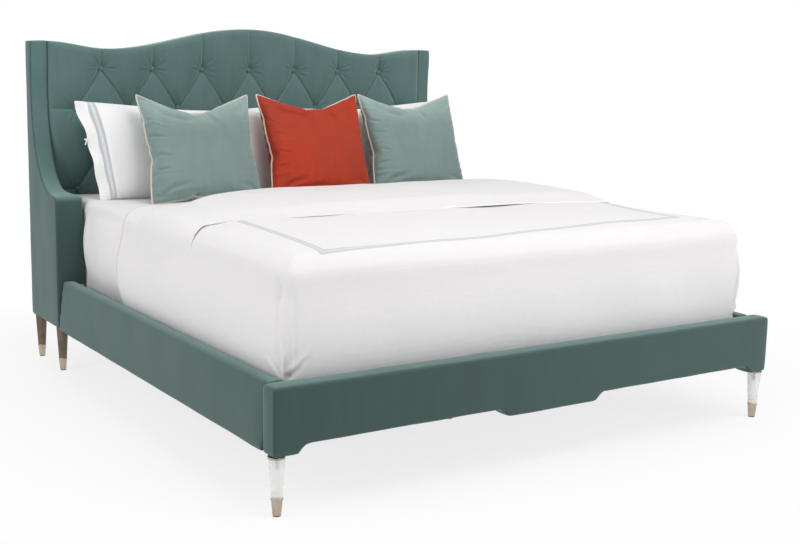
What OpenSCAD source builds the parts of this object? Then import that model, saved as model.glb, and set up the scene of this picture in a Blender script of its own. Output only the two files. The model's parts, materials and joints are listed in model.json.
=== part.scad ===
// Upholstered headboard bed with wings, tufted pad, clear front legs and dressed mattress.
// Millimetres. +X is the sleeper's left seen from the foot, +Y points to the headboard, +Z is up.
// The origin is on the floor, in the middle of the bed's footprint.

/* [Overall] */
// Width over the wings
bed_w = 2134; // [2040:1:2240]
// Length from the footboard's face to the headboard's back
bed_l = 2346; // [2300:1:2450]

/* [Headboard] */
// Height of the crown at the middle of the headboard
crown_z = 1496; // [1440:1:1560]
// Height of the two dips beside the crown
dip_z = 1390; // [1360:1:1420]
// Distance of each dip from the middle
dip_x = 717; // [650:1:760]
// Height of the headboard's outer corners
ear_z = 1418; // [1400:1:1440]
// Underside of the upholstered headboard
head_bottom_z = 240; // [230:1:300]
// Foam pad, from the plywood to its front
pad_t = 65; // [55:1:80]
// Round of the pad's front edges
pad_round = 24; // [14:1:30]
// Plywood panel behind the foam
panel_t = 9; // [6:1:15]
// Depth of the timber frame behind the plywood
frame_t = 32; // [25:1:40]
// Padded cloth that wraps the back and the edges
back_t = 5; // [3:1:8]
// Width of a stile of the timber frame
stile_w = 70; // [50:1:90]
// Height of a cross rail of the timber frame
cross_h = 90; // [60:1:120]
// Height of the middle of the top cross rail
top_cross_z = 1300; // [1200:1:1320]

/* [Tufting] */
// Distance between buttons along a row
button_pitch = 249; // [220:1:280]
// Distance between rows
row_pitch = 180; // [160:1:190]
// Height of the top row
top_row_z = 1301; // [1290:1:1310]
// Number of rows
button_rows = 4; // [2:1:4]
// Least distance from a button to the pad's side
button_edge = 100; // [80:1:120]
// Width of a covered button
button_d = 24; // [18:1:30]
// Thickness of a covered button
button_t = 8; // [5:1:10]
// Depth of the dimple that a button pulls into the pad
dimple_depth = 16; // [10:1:22]
// Radius of the ball that shapes a dimple
dimple_r = 70; // [50:1:90]

/* [Wings] */
// Height of the wing
wing_top_z = 1410; // [1390:1:1430]
// Underside of the wing
wing_bottom_z = 190; // [185:1:200]
// Width of the wing behind the arm's tapered front
wing_w = 76; // [66:1:85]
// Width of the arm at its front
arm_w = 125; // [110:1:135]
// Height of the arm
arm_z = 757; // [745:1:775]
// Distance from the headboard's back to the arm's front
arm_depth = 379; // [340:1:400]
// Distance from the headboard's back to the wing's front at its top
wing_top_depth = 86; // [80:1:95]
// Flat top of the arm in front of the wing's sweep
arm_flat = 46; // [30:1:60]
// Height over the arm at which the sweep turns upright
sweep_h = 353; // [300:1:400]
// How far the sweep's low curve reaches along the arm
sweep_reach = 185; // [160:1:200]
// Padding over the wing's timber
wing_pad = 14; // [8:1:18]
// Round of the wing's edges
wing_round = 12; // [6:1:16]

/* [Side rails] */
// Height of the top of the rails and the footboard
rail_top_z = 396; // [385:1:420]
// Underside of the rails
rail_bottom_z = 186; // [180:1:195]
// Thickness of a rail at its bottom
rail_w = 77; // [65:1:85]
// How far the outer face leans inwards at its top
rail_lean = 24; // [0:1:26]
// Round of the rail's outer top edge
rail_round = 10; // [8:1:26]
// Thickness of the rail's board
rail_board_t = 34; // [26:1:36]
// Cloth skin between a board and the inside of the bed
inner_skin = 3; // [2:1:5]
// Padding above and below a board
edge_pad = 14; // [10:1:20]

/* [Footboard] */
// Thickness of the footboard
foot_t = 74; // [68:1:80]
// Underside of the footboard's corners and centre drop
foot_bottom_z = 184; // [180:1:190]
// Underside of the footboard's raised stretches
foot_cut_z = 214; // [208:1:222]
// Width of a corner drop at its flat bottom
corner_drop_w = 90; // [80:1:110]
// Half the width of the centre drop at its flat bottom
centre_drop_half = 184; // [150:1:220]
// Length of the curve between a drop and a raised stretch
drop_curve = 45; // [30:1:60]
// Padding over the footboard's front
foot_pad = 16; // [10:1:20]
// Round of the footboard's edges
foot_round = 12; // [6:1:16]

/* [Legs] */
// Distance from the bed's side to the middle of a leg
leg_side = 27; // [26:1:32]
// Distance from the footboard's face to the middle of a front leg
leg_front = 30; // [26:1:36]
// Distance from the headboard's back to the middle of a rear leg
leg_back = 50; // [36:1:70]
// Distance from the arm's front to the middle of an arm leg
leg_arm = 32; // [28:1:50]
// Leg diameter at its top
leg_top_d = 50; // [44:1:51]
// Leg diameter where it enters the ferrule
leg_mid_d = 35; // [30:1:38]
// Ferrule diameter at the floor
leg_low_d = 26; // [22:1:30]
// Height of the top of the ferrule
ferrule_z = 55; // [45:1:70]
// Wall of the ferrule
ferrule_wall = 1.5; // [1:0.1:2.5]
// Thickness of the nylon glide under a ferrule
pad_glide_t = 3; // [2:0.5:5]
// Thickness of the brass collar on a clear leg
collar_t = 6; // [4:1:10]
// How far the collar stands out round the leg
collar_lip = 2; // [1:0.5:3]
// Diameter of the bolts in legs, wings and brackets
bolt_d = 8; // [6:1:10]
// Reach of a leg bolt below and above the joint
leg_bolt_reach = 38; // [30:1:45]

/* [Slat deck] */
// Height of the top of the slats
deck_z = 290; // [280:1:300]
// Thickness of a slat
slat_t = 19; // [16:1:24]
// Width of a slat
slat_w = 90; // [70:1:100]
// From the footboard to the middle of the first slat, and from the last one to the arms
slat_end = 86.5; // [75:0.5:110]
// Width of a ledger strip
ledger_w = 30; // [25:1:40]
// Height of a ledger strip
ledger_h = 38; // [30:1:45]
// Side of a square centre leg
centre_leg_w = 45; // [40:1:60]
// Diameter of a centre leg's glide
glide_d = 34; // [30:1:40]
// Thickness of a centre leg's glide
glide_t = 10; // [8:1:14]
// Length of the glide's threaded stem
stem_l = 50; // [40:1:70]
// Diameter of a wood screw
screw_d = 5; // [4:0.5:6]
// Length of a wood screw under its head
screw_l = 34; // [28:1:38]
// Thickness of a corner bracket
bracket_t = 4; // [3:0.5:6]
// Height of a corner bracket
bracket_h = 80; // [60:1:90]
// Length of a corner bracket's flange on the rail
bracket_l = 70; // [60:1:90]
// Length of a corner bracket's other flange
bracket_w = 40; // [36:1:42]

/* [Mattress and bedding] */
// Gap between the mattress and the arm of a wing
mattress_side_gap = 31; // [20:1:50]
// Gap between the mattress and the footboard, filled by the tucked bedding
mattress_foot_gap = 37; // [30:1:60]
// Thickness of the mattress
mattress_t = 300; // [250:1:320]
// Thickness of a box spring
box_t = 140; // [120:1:160]
// Round of the mattress corners
mattress_round = 40; // [20:1:60]
// Thickness of the mattress's quilted border and panels
ticking_t = 20; // [15:1:25]
// Width of a group of pocketed springs
spring_d = 180; // [150:1:200]
// Wall of a spring pocket
pocket_t = 2; // [1:0.5:3]
// Cloth round a box spring
box_cloth_t = 3; // [2:0.5:5]
// Thickness of a bar in a box spring
box_bar_t = 18; // [15:1:25]
// Width of a cross bar in a box spring
box_bar_w = 60; // [40:1:80]
// Number of cross bars in each half of the box spring
box_bars = 9; // [7:1:11]
// Thickness of the tucked sheet
sheet_t = 5; // [3:1:8]
// Gap between the tucked duvet and a side rail
duvet_gap = 10; // [5:1:25]
// Duvet over the mattress top
duvet_t = 34; // [25:1:45]
// Duvet over the mattress's foot end
duvet_foot_t = 18; // [12:1:20]
// Lowest edge of the tucked duvet
duvet_low_z = 320; // [300:1:350]
// Distance from the footboard's face to the duvet's head edge
duvet_reach = 1600; // [1500:1:1650]
// Thickness of the folded-back layer
fold_t = 34; // [25:1:45]
// Distance from the footboard's face to the folded-back edge
fold_start = 850; // [800:1:900]
// How far the folded-back layer stands out over the duvet's side
fold_proud = 30; // [15:1:40]

/* [Pillows] */
// Width of a throw pillow
throw_w = 530; // [480:1:560]
// Height of a throw pillow
throw_h = 484; // [440:1:520]
// Thickness of a throw pillow
throw_t = 140; // [100:1:160]
// Backward lean of the throw pillows
throw_lean = 20; // [14:1:24]
// Places of the three throw pillows across the bed
throw_x = [-470, 105, 647];
// Distance from the headboard's back to the foot of the throw pillows
throw_back = 640; // [620:1:680]
// Width of a sham
sham_w = 950; // [900:1:960]
// Height of a sham
sham_h = 440; // [400:1:470]
// Thickness of a sham
sham_t = 110; // [80:1:120]
// Backward lean of the shams
sham_lean = 7; // [3:1:9]
// Distance from the headboard's back to the foot of the shams
sham_back = 400; // [390:1:415]
// Width of a sleeping pillow
pillow_w = 870; // [820:1:900]
// Height of a sleeping pillow
pillow_h = 390; // [350:1:410]
// Thickness of a sleeping pillow
pillow_t = 150; // [120:1:160]
// Gap between the two pillows of a row
pillow_gap = 20; // [10:1:40]

/* [Hidden] */

// Small distances
seat = 0.3;          // rest gap between pieces that lift apart
lift_gap = 2;        // gap between the headboard and what lifts past it
run = 0.1;           // radial clearance of a bolt, screw or stem in its hole
join = 1;            // overshoot of a cutter past a face
head_t = 5;          // thickness of a bolt head
screw_head_t = 2.5;  // thickness of a screw head
curve_steps = 12;    // points along a blended curve
top_steps = 56;      // points along the headboard's top
slat_count = 5;      // slats; all but the one at the foot have a centre leg
sweep_rise = 8;      // rise of the arm's top towards the sweep
rail_heel = 6;       // round of the rail's inner top edge and toe of its outer face
edge_steps = 4;      // facets round a padded edge
taper_steps = 2;     // curve steps over which the arm narrows behind its front

// Planes across the bed
half_w = bed_w / 2;
back_y = bed_l / 2;
front_y = -back_y;
foot_in_y = front_y + foot_t;
frame_back_y = back_y - back_t;
frame_front_y = frame_back_y - frame_t;
panel_front_y = frame_front_y - panel_t;
pad_front_y = panel_front_y - pad_t;
arm_front_y = back_y - arm_depth;
rail_in_x = half_w - rail_w;
arm_in_x = half_w - arm_w;
wing_in_x = half_w - wing_w;

// Deck and bedding levels
ledger_top_z = deck_z - slat_t;
box_z = deck_z + seat;
mattress_z = box_z + box_t + seat;
mattress_top_z = mattress_z + mattress_t;
sheet_top_z = mattress_top_z + sheet_t;
duvet_top_z = sheet_top_z + duvet_t;
mattress_back_y = pad_front_y - lift_gap;
mattress_front_y = foot_in_y + mattress_foot_gap;
mattress_w = 2 * (arm_in_x - mattress_side_gap);
mattress_l = mattress_back_y - mattress_front_y;
duvet_w = 2 * (rail_in_x - duvet_gap);
fold_w = duvet_w + 2 * fold_proud;
duvet_back_y = front_y + duvet_reach;
fold_front_y = front_y + fold_start;
sheet_half = mattress_w / 2 + sheet_t;
tuck_z = mattress_z;
box_round = mattress_round / 2;
springs_x = floor((mattress_w - 2 * ticking_t) / spring_d);
springs_y = floor((mattress_l - 2 * ticking_t) / spring_d);

teal = [0.28, 0.38, 0.37];
timber = [0.76, 0.62, 0.44];
steel = [0.55, 0.56, 0.58];
brass = [0.74, 0.64, 0.55];
bronze = [0.42, 0.37, 0.31];
clear = [0.88, 0.88, 0.87];
white = [0.93, 0.92, 0.92];
nylon = [0.2, 0.2, 0.2];
sage = [0.52, 0.61, 0.59];
orange = [0.73, 0.27, 0.17];

// Prism of a shape drawn in X and Z, between two places along Y
module along_y(from, to) translate([0, to, 0]) rotate([90, 0, 0]) linear_extrude(to - from) children();

// Prism of a shape drawn in Y and Z, between two places along X
module along_x(from, to) translate([from, 0, 0]) rotate([90, 0, 90]) linear_extrude(to - from) children();

// Block between two corners
module block(low, high) translate(low) cube(high - low);

// Solid skinned over rings with equally many points
module skin(rings) {
    n = len(rings[0]);
    last = (len(rings) - 1) * n;
    polyhedron(
        points = [for (ring = rings) each ring],
        faces = concat(
            [[for (i = [0:n - 1]) i]],
            [for (k = [0:len(rings) - 2]) for (i = [0:n - 1])
                [k * n + i, k * n + n + i, k * n + n + (i + 1) % n]],
            [for (k = [0:len(rings) - 2]) for (i = [0:n - 1])
                [k * n + i, k * n + n + (i + 1) % n, k * n + (i + 1) % n]],
            [[for (i = [n:-1:1]) last + i % n]]));
}

// Inset and depth of each ring round an edge of a radius, from its face to its full outline
function edge_rings(r) = [for (k = [0:edge_steps]) let (a = 90 * k / edge_steps)
    [r * (1 - sin(a)), r * (1 - cos(a))]];

// The same piece on the left (-1) or the right (1) of the bed
module on_side(side) {
    if (side < 0) mirror([1, 0, 0]) children();
    else children();
}

// Point on a cubic curve with four handles
function bezier(p, t) = pow(1 - t, 3) * p[0] + 3 * pow(1 - t, 2) * t * p[1]
    + 3 * (1 - t) * t * t * p[2] + t * t * t * p[3];

// Points of a quarter round about a centre, from one angle to another
function arc(centre, r, a0, a1, steps = 6) =
    [for (i = [0:steps]) centre + r * [cos(a0 + (a1 - a0) * i / steps), sin(a0 + (a1 - a0) * i / steps)]];

// Height of the headboard's top line: a crown, two dips and rising ears
function head_top(x) = abs(x) < dip_x
    ? dip_z + (crown_z - dip_z) * (1 + cos(180 * x / dip_x)) / 2
    : dip_z + (ear_z - dip_z) * (1 - cos(180 * min(1, (abs(x) - dip_x) / (wing_in_x - dip_x)))) / 2;

// Outline of the headboard between the wings, drawn in by an inset
function head_outline(inset) = let (half = wing_in_x - inset)
    concat([[-half, head_bottom_z + inset], [half, head_bottom_z + inset]],
           [for (i = [0:top_steps]) let (x = half * (1 - 2 * i / top_steps)) [x, head_top(x) - inset]]);

// Handles of the curve from the arm's top up the wing's front, in Y and Z, drawn in by an inset
function sweep(i) = let (wing_y = back_y - wing_top_depth)
    [[arm_front_y + arm_flat, arm_z + sweep_rise - i],
     [arm_front_y + sweep_reach + 0.2 * i, arm_z + 2 * sweep_rise - i],
     [wing_y - 17 + i, arm_z + 0.42 * sweep_h - 0.2 * i], [wing_y + 5 + i, arm_z + sweep_h]];

// Where the arm's taper ends, along Y
function taper_y(inset) = bezier(sweep(inset), taper_steps / curve_steps)[0];

// Side outline of a wing and arm, in Y and Z, drawn in by an inset
function wing_outline(inset) = let (i = inset, wing_y = back_y - wing_top_depth)
    concat([[back_y - i, wing_top_z - i], [back_y - i, wing_bottom_z + i],
            [arm_front_y + i, wing_bottom_z + i], [arm_front_y + i, arm_z - i]],
           [for (k = [0:curve_steps]) bezier(sweep(i), k / curve_steps)],
           [[wing_y + 11 + i, wing_top_z - 0.3 * (wing_top_z - arm_z)], [wing_y + i, wing_top_z - i]]);

// Solid wing on the right, drawn in by an inset
module wing_block(inset) intersection() {
    along_x(arm_in_x + inset, half_w - inset) polygon(wing_outline(inset));
    linear_extrude(crown_z) polygon([
        [arm_in_x + inset, arm_front_y], [half_w, arm_front_y], [half_w, back_y],
        [wing_in_x + inset, back_y], [wing_in_x + inset, taper_y(inset)],
        [arm_in_x + inset, arm_front_y + inset]]);
}

// Places along X of the buttons in a row; every second row is shifted by half a pitch
function row_places(row) = let (odd = row % 2,
        n = floor((wing_in_x - button_edge) / button_pitch + odd / 2))
    [for (k = [-n:n - odd]) (k + odd / 2) * button_pitch];

// Centres of all buttons on the pad's front plane
button_points = [for (row = [0:button_rows - 1]) for (x = row_places(row)) [x, top_row_z - row * row_pitch]];

// Depth of the pad's surface where a button's rim rests in its dimple
button_seat = dimple_depth - (dimple_r - sqrt(dimple_r * dimple_r - button_d * button_d / 4));

// Half outline of the footboard's lower edge, from the middle to the right corner
function foot_lower(inset) = let (z0 = foot_bottom_z + inset, z1 = foot_cut_z + inset,
        cove = half_w - corner_drop_w - drop_curve)
    concat([for (k = [0:curve_steps]) let (t = k / curve_steps)
               [centre_drop_half - inset + drop_curve * t, z0 + (z1 - z0) * (1 - cos(180 * t)) / 2]],
           [for (k = [0:curve_steps]) let (a = 90 * k / curve_steps)
               [cove + inset + drop_curve * sin(a), z0 + (z1 - z0) * cos(a)]]);

// Outline of the footboard in X and Z, drawn in by an inset
function foot_outline(inset) = let (right = foot_lower(inset), n = len(right))
    concat([for (k = [n - 1:-1:0]) [-right[k][0], right[k][1]]], right,
           [[half_w - inset, foot_bottom_z + inset], [half_w - inset, rail_top_z - inset],
            [-half_w + inset, rail_top_z - inset], [-half_w + inset, foot_bottom_z + inset]]);

// Cross-section of the right rail's cover in X and Z
rail_section = concat([[rail_in_x, rail_bottom_z], [half_w - rail_heel, rail_bottom_z],
                       [half_w, rail_bottom_z + rail_heel]],
    arc([half_w - rail_lean - rail_round, rail_top_z - rail_round], rail_round, 8, 90),
    arc([rail_in_x + rail_heel, rail_top_z - rail_heel], rail_heel, 90, 180, 3));

// Where the legs stand, in X and Y
leg_x = half_w - leg_side;
foot_leg_y = front_y + leg_front;
rear_leg_y = back_y - leg_back;
arm_leg_y = arm_front_y + leg_arm;
leg_places = [for (side = [-1, 1]) for (y = [foot_leg_y, arm_leg_y, rear_leg_y]) [side * leg_x, y]];

// Height of the joint over a leg: the footboard's corner or the wing's underside
function leg_joint_z(p) = p[1] < 0 ? foot_bottom_z : wing_bottom_z;

// Diameter of the leg's taper at a height
function leg_d(z, top_z) = leg_mid_d + (leg_top_d - leg_mid_d) * (z - ferrule_z) / (top_z - ferrule_z);

// Diameter of the ferrule's taper at a height
function ferrule_d(z) = leg_low_d + (leg_mid_d - leg_low_d) * (z - pad_glide_t) / (ferrule_z - pad_glide_t);

// Middles of the slats, evenly spaced along the bed
slat_pitch = (arm_front_y - foot_in_y - 2 * slat_end) / (slat_count - 1);
function slat_y(n) = foot_in_y + slat_end + (n - 1) * slat_pitch;

// Corner brackets: on the right rail at the footboard and at the arm
bracket_z = deck_z + 8;
bracket_bolt_z = [bracket_z + 0.25 * bracket_h, bracket_z + 0.75 * bracket_h];
rail_bolt_y = bracket_l - 20;
end_bolt_x = bracket_w / 2 - 4;
bolt_r = bolt_d / 2;
bracket_bolt_l = 34;

// Wing bolts pass from the wing's core into the stile below the arm
wing_bolt_z = [320, 500, 680];
wing_bolt_y = (frame_back_y + frame_front_y) / 2;
wing_bolt_reach = 44;

// Shafts of the bolts that hold the right-hand brackets, with an added radius
module bracket_shafts(extra) {
    for (z = bracket_bolt_z) {
        for (y = [foot_in_y + rail_bolt_y, arm_front_y - rail_bolt_y])
            translate([rail_in_x - bracket_t, y, z]) rotate([0, 90, 0])
                cylinder(r = bolt_r + extra, h = bracket_bolt_l, $fn = 24);
        translate([rail_in_x - end_bolt_x, foot_in_y + bracket_t, z]) rotate([90, 0, 0])
            cylinder(r = bolt_r + extra, h = bracket_bolt_l, $fn = 24);
        translate([rail_in_x - end_bolt_x, arm_front_y - bracket_t, z]) rotate([-90, 0, 0])
            cylinder(r = bolt_r + extra, h = bracket_bolt_l, $fn = 24);
    }
}

// Shafts of the bolts between the right wing and the headboard's stile, with an added radius
module wing_shafts(extra) {
    for (z = wing_bolt_z)
        translate([wing_in_x - wing_bolt_reach, wing_bolt_y, z]) rotate([0, 90, 0])
            cylinder(r = bolt_r + extra, h = 2 * wing_bolt_reach, $fn = 24);
}

// Shafts of the bolts over the legs, with an added radius
module leg_shafts(extra) {
    for (p = leg_places)
        translate([p[0], p[1], leg_joint_z(p) - leg_bolt_reach])
            cylinder(r = bolt_r + extra, h = 2 * leg_bolt_reach, $fn = 24);
}

// Screws that hold the slats to the ledgers and to the centre legs, in X and Y
function slat_screw_places(n) = concat(
    [for (side = [-1, 1]) for (dy = [-1, 1])
        [side * (rail_in_x - ledger_w / 2), slat_y(n) + dy * slat_w / 4]],
    [for (dx = n > 1 ? [-1, 1] : []) [dx * centre_leg_w / 4, slat_y(n)]]);

// Places along Y of the screws that hold a ledger to its rail
ledger_screw_y = [for (n = [1:slat_count - 1]) for (t = [0.3, 0.7]) slat_y(n) + t * slat_pitch];

// A screw pointing down, with its head let into the wood
module down_screw(extra) {
    translate([0, 0, -screw_l]) cylinder(d = screw_d + 2 * extra, h = screw_l, $fn = 20);
    translate([0, 0, -screw_head_t])
        cylinder(d = 2 * screw_d + 2 * extra, h = screw_head_t + (extra > 0 ? join : 0), $fn = 20);
}

// All slat screws, from the top of the slats
module all_slat_screws(extra) {
    for (n = [1:slat_count]) for (p = slat_screw_places(n)) translate([p[0], p[1], deck_z]) down_screw(extra);
}

// All screws through the right ledger
module right_ledger_screws(extra) {
    for (y = ledger_screw_y)
        translate([rail_in_x - ledger_w, y, ledger_top_z - ledger_h / 2])
            rotate([0, -90, 0]) down_screw(extra);
}

// ---------- Headboard ----------

module headboard_panel() color(timber)
    along_y(panel_front_y, frame_front_y) polygon(head_outline(back_t));

module headboard_back() color(teal) difference() {
    along_y(panel_front_y, back_y) polygon(head_outline(0));
    along_y(panel_front_y - join, frame_back_y) polygon(head_outline(back_t));
    for (side = [-1, 1]) on_side(side) wing_shafts(run);
}

module headboard_stiles() color(timber) for (side = [-1, 1]) on_side(side) difference() {
    block([wing_in_x - back_t - stile_w, frame_front_y, head_bottom_z + back_t],
          [wing_in_x - back_t, frame_back_y, dip_z - 3 * back_t]);
    wing_shafts(run);
}

// Level rail of the headboard's frame, between the stiles
module cross_rail(mid_z) color(timber)
    block([-(wing_in_x - back_t - stile_w), frame_front_y, mid_z - cross_h / 2],
          [wing_in_x - back_t - stile_w, frame_back_y, mid_z + cross_h / 2]);

module headboard_top_rail() cross_rail(top_cross_z);

module headboard_bottom_rail() cross_rail(head_bottom_z + back_t + cross_h / 2);

module tufted_pad() color(teal) difference() {
    skin([for (e = concat(edge_rings(pad_round), [[0, pad_t]]))
        [for (p = head_outline(e[0])) [p[0], pad_front_y + e[1], p[1]]]]);
    for (p = button_points)
        translate([p[0], pad_front_y + dimple_depth - dimple_r, p[1]]) sphere(r = dimple_r, $fn = 40);
}

module tuft_buttons() color(teal)
    for (p = button_points)
        translate([p[0], pad_front_y + button_seat - run, p[1]]) rotate([90, 0, 0]) {
            cylinder(d = button_d, h = button_t / 2, $fn = 24);
            translate([0, 0, button_t / 2])
                cylinder(d1 = button_d, d2 = button_d / 2, h = button_t / 2, $fn = 24);
        }

// ---------- Wings ----------

module wing_core(side) color(timber) on_side(side) difference() {
    wing_block(wing_pad);
    wing_shafts(run);
    leg_shafts(run);
    bracket_shafts(run);
}

module wing_cover(side) color(teal) on_side(side) difference() {
    intersection() {
        along_x(arm_in_x, half_w) polygon(wing_outline(0));
        linear_extrude(crown_z) polygon(concat(
            [[half_w, back_y], [wing_in_x, back_y], [wing_in_x, taper_y(0)]],
            arc([arm_in_x + wing_round, arm_front_y + wing_round], wing_round, 180, 270),
            arc([half_w - wing_round, arm_front_y + wing_round], wing_round, 270, 360)));
    }
    wing_block(wing_pad);
    wing_shafts(run);
    leg_shafts(run);
    bracket_shafts(run);
}

module left_wing_core() wing_core(-1);

module right_wing_core() wing_core(1);

module left_wing_cover() wing_cover(-1);

module right_wing_cover() wing_cover(1);

module wing_bolts() color(steel)
    for (side = [-1, 1]) on_side(side) wing_shafts(0);

// ---------- Footboard and side rails ----------

// Timber of the footboard, padded in front and skinned behind
module foot_timber()
    along_y(front_y + foot_pad, foot_in_y - inner_skin) polygon(foot_outline(edge_pad));

module foot_core() color(timber) difference() {
    foot_timber();
    leg_shafts(run);
    for (side = [-1, 1]) on_side(side) bracket_shafts(run);
}

// Footboard with its front edges rounded
module foot_block() intersection() {
    along_y(front_y, foot_in_y) polygon(foot_outline(0));
    along_x(-half_w - join, half_w + join) polygon(concat(
        [[foot_in_y + join, foot_bottom_z], [foot_in_y + join, rail_top_z]],
        arc([front_y + foot_round, rail_top_z - foot_round], foot_round, 90, 180),
        arc([front_y + foot_round, foot_bottom_z + foot_round], foot_round, 180, 270)));
    translate([0, 0, foot_bottom_z - join]) linear_extrude(rail_top_z - foot_bottom_z + 2 * join)
        polygon(concat([[half_w, foot_in_y + join], [-half_w, foot_in_y + join]],
            arc([-half_w + foot_round, front_y + foot_round], foot_round, 180, 270),
            arc([half_w - foot_round, front_y + foot_round], foot_round, 270, 360)));
}

module foot_cover() color(teal) difference() {
    foot_block();
    foot_timber();
    leg_shafts(run);
    for (side = [-1, 1]) on_side(side) bracket_shafts(run);
}

// Board inside the right rail
module rail_board()
    block([rail_in_x + inner_skin, foot_in_y, rail_bottom_z + edge_pad],
          [rail_in_x + inner_skin + rail_board_t, arm_front_y, rail_top_z - edge_pad]);

module rail_core(side) color(timber) on_side(side) difference() {
    rail_board();
    bracket_shafts(run);
    right_ledger_screws(run);
}

module rail_cover(side) color(teal) on_side(side) difference() {
    along_y(foot_in_y, arm_front_y) polygon(rail_section);
    rail_board();
    bracket_shafts(run);
    right_ledger_screws(run);
}

module left_rail_core() rail_core(-1);

module right_rail_core() rail_core(1);

module left_rail_cover() rail_cover(-1);

module right_rail_cover() rail_cover(1);

// ---------- Ledgers, brackets and fasteners ----------

module ledger(side) color(timber) on_side(side) difference() {
    block([rail_in_x - ledger_w, foot_in_y + ledger_w, ledger_top_z - ledger_h],
          [rail_in_x, arm_front_y - ledger_w, ledger_top_z]);
    right_ledger_screws(run);
    all_slat_screws(run);
}

module left_ledger() ledger(-1);

module right_ledger() ledger(1);

module ledger_screws() color(steel)
    for (side = [-1, 1]) on_side(side) right_ledger_screws(0);

// Angle bracket in a corner of the right rail; the other flange lies on a cross face
module bracket(end_y, way) {
    low = min(end_y, end_y + way * bracket_l);
    difference() {
        union() {
            block([rail_in_x - bracket_t, low, bracket_z],
                  [rail_in_x, low + bracket_l, bracket_z + bracket_h]);
            block([rail_in_x - bracket_w, min(end_y, end_y + way * bracket_t), bracket_z],
                  [rail_in_x, max(end_y, end_y + way * bracket_t), bracket_z + bracket_h]);
        }
        bracket_shafts(run);
    }
}

module rail_brackets() color(steel)
    for (side = [-1, 1]) on_side(side) {
        bracket(foot_in_y, 1);
        bracket(arm_front_y, -1);
    }

module bracket_bolts() color(steel)
    for (side = [-1, 1]) on_side(side) {
        bracket_shafts(0);
        for (z = bracket_bolt_z) {
            for (y = [foot_in_y + rail_bolt_y, arm_front_y - rail_bolt_y])
                translate([rail_in_x - bracket_t - head_t, y, z]) rotate([0, 90, 0])
                    cylinder(d = 1.75 * bolt_d, h = head_t, $fn = 24);
            translate([rail_in_x - end_bolt_x, foot_in_y + bracket_t + head_t, z]) rotate([90, 0, 0])
                cylinder(d = 1.75 * bolt_d, h = head_t, $fn = 24);
            translate([rail_in_x - end_bolt_x, arm_front_y - bracket_t - head_t, z]) rotate([-90, 0, 0])
                cylinder(d = 1.75 * bolt_d, h = head_t, $fn = 24);
        }
    }

// ---------- Legs ----------

// Tapered leg with a tenon that fills its ferrule
module leg(x, y, top_z) translate([x, y, 0]) difference() {
    union() {
        translate([0, 0, ferrule_z])
            cylinder(d1 = leg_mid_d, d2 = leg_d(top_z, top_z), h = top_z - ferrule_z, $fn = 48);
        translate([0, 0, ferrule_z / 3])
            cylinder(d1 = ferrule_d(ferrule_z / 3) - 2 * ferrule_wall, d2 = leg_mid_d - 2 * ferrule_wall,
                     h = ferrule_z * 2 / 3, $fn = 48);
    }
    translate([0, 0, top_z - leg_bolt_reach]) cylinder(r = bolt_r + run, h = 2 * leg_bolt_reach, $fn = 24);
}

module foot_leg(side) color(clear) leg(side * leg_x, foot_leg_y, foot_bottom_z - collar_t);

module left_foot_leg() foot_leg(-1);

module right_foot_leg() foot_leg(1);

module left_rear_leg() color(bronze) leg(-leg_x, rear_leg_y, wing_bottom_z);

module right_rear_leg() color(bronze) leg(leg_x, rear_leg_y, wing_bottom_z);

module left_arm_leg() color(bronze) leg(-leg_x, arm_leg_y, wing_bottom_z);

module right_arm_leg() color(bronze) leg(leg_x, arm_leg_y, wing_bottom_z);

module leg_collars() color(brass)
    for (side = [-1, 1]) translate([side * leg_x, foot_leg_y, foot_bottom_z - collar_t]) difference() {
        cylinder(d = leg_top_d + 2 * collar_lip, h = collar_t, $fn = 48);
        translate([0, 0, -join]) cylinder(r = bolt_r + run, h = collar_t + 2 * join, $fn = 24);
    }

// Metal cup round the foot of a leg
module ferrule(x, y) translate([x, y, 0]) difference() {
    translate([0, 0, pad_glide_t])
        cylinder(d1 = leg_low_d, d2 = leg_mid_d, h = ferrule_z - pad_glide_t, $fn = 48);
    translate([0, 0, ferrule_z / 3])
        cylinder(d1 = ferrule_d(ferrule_z / 3) - 2 * ferrule_wall, d2 = leg_mid_d - 2 * ferrule_wall,
                 h = ferrule_z * 2 / 3, $fn = 48);
}

module foot_ferrules() color(brass)
    for (p = leg_places) if (p[1] < 0) ferrule(p[0], p[1]);

module head_ferrules() color(brass)
    for (p = leg_places) if (p[1] > 0) ferrule(p[0], p[1]);

module leg_bolts() color(steel) leg_shafts(0);

module leg_glides() color(nylon)
    for (p = leg_places) translate([p[0], p[1], 0]) cylinder(d = leg_low_d - 2, h = pad_glide_t, $fn = 32);

// ---------- Slat deck ----------

module slat(n) color(timber) difference() {
    block([-(rail_in_x - inner_skin), slat_y(n) - slat_w / 2, ledger_top_z],
          [rail_in_x - inner_skin, slat_y(n) + slat_w / 2, deck_z]);
    for (p = slat_screw_places(n)) translate([p[0], p[1], deck_z]) down_screw(run);
}

module slat_1() slat(1);

module slat_2() slat(2);

module slat_3() slat(3);

module slat_4() slat(4);

module slat_5() slat(5);

module slat_screws() color(steel) all_slat_screws(0);

module centre_legs() color(timber)
    for (n = [2:slat_count]) difference() {
        block([-centre_leg_w / 2, slat_y(n) - centre_leg_w / 2, glide_t + seat],
              [centre_leg_w / 2, slat_y(n) + centre_leg_w / 2, ledger_top_z]);
        translate([0, slat_y(n), glide_t - join]) cylinder(r = bolt_r + run, h = stem_l + 2 * join, $fn = 24);
        all_slat_screws(run);
    }

// Threaded glide under a centre leg; it screws down to level the deck
module centre_glide(n) color(nylon) translate([0, slat_y(n), 0]) {
    cylinder(d = glide_d, h = glide_t, $fn = 40);
    cylinder(r = bolt_r, h = glide_t + stem_l, $fn = 24);
}

module centre_glide_1() centre_glide(2);

module centre_glide_2() centre_glide(3);

module centre_glide_3() centre_glide(4);

module centre_glide_4() centre_glide(5);

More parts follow.
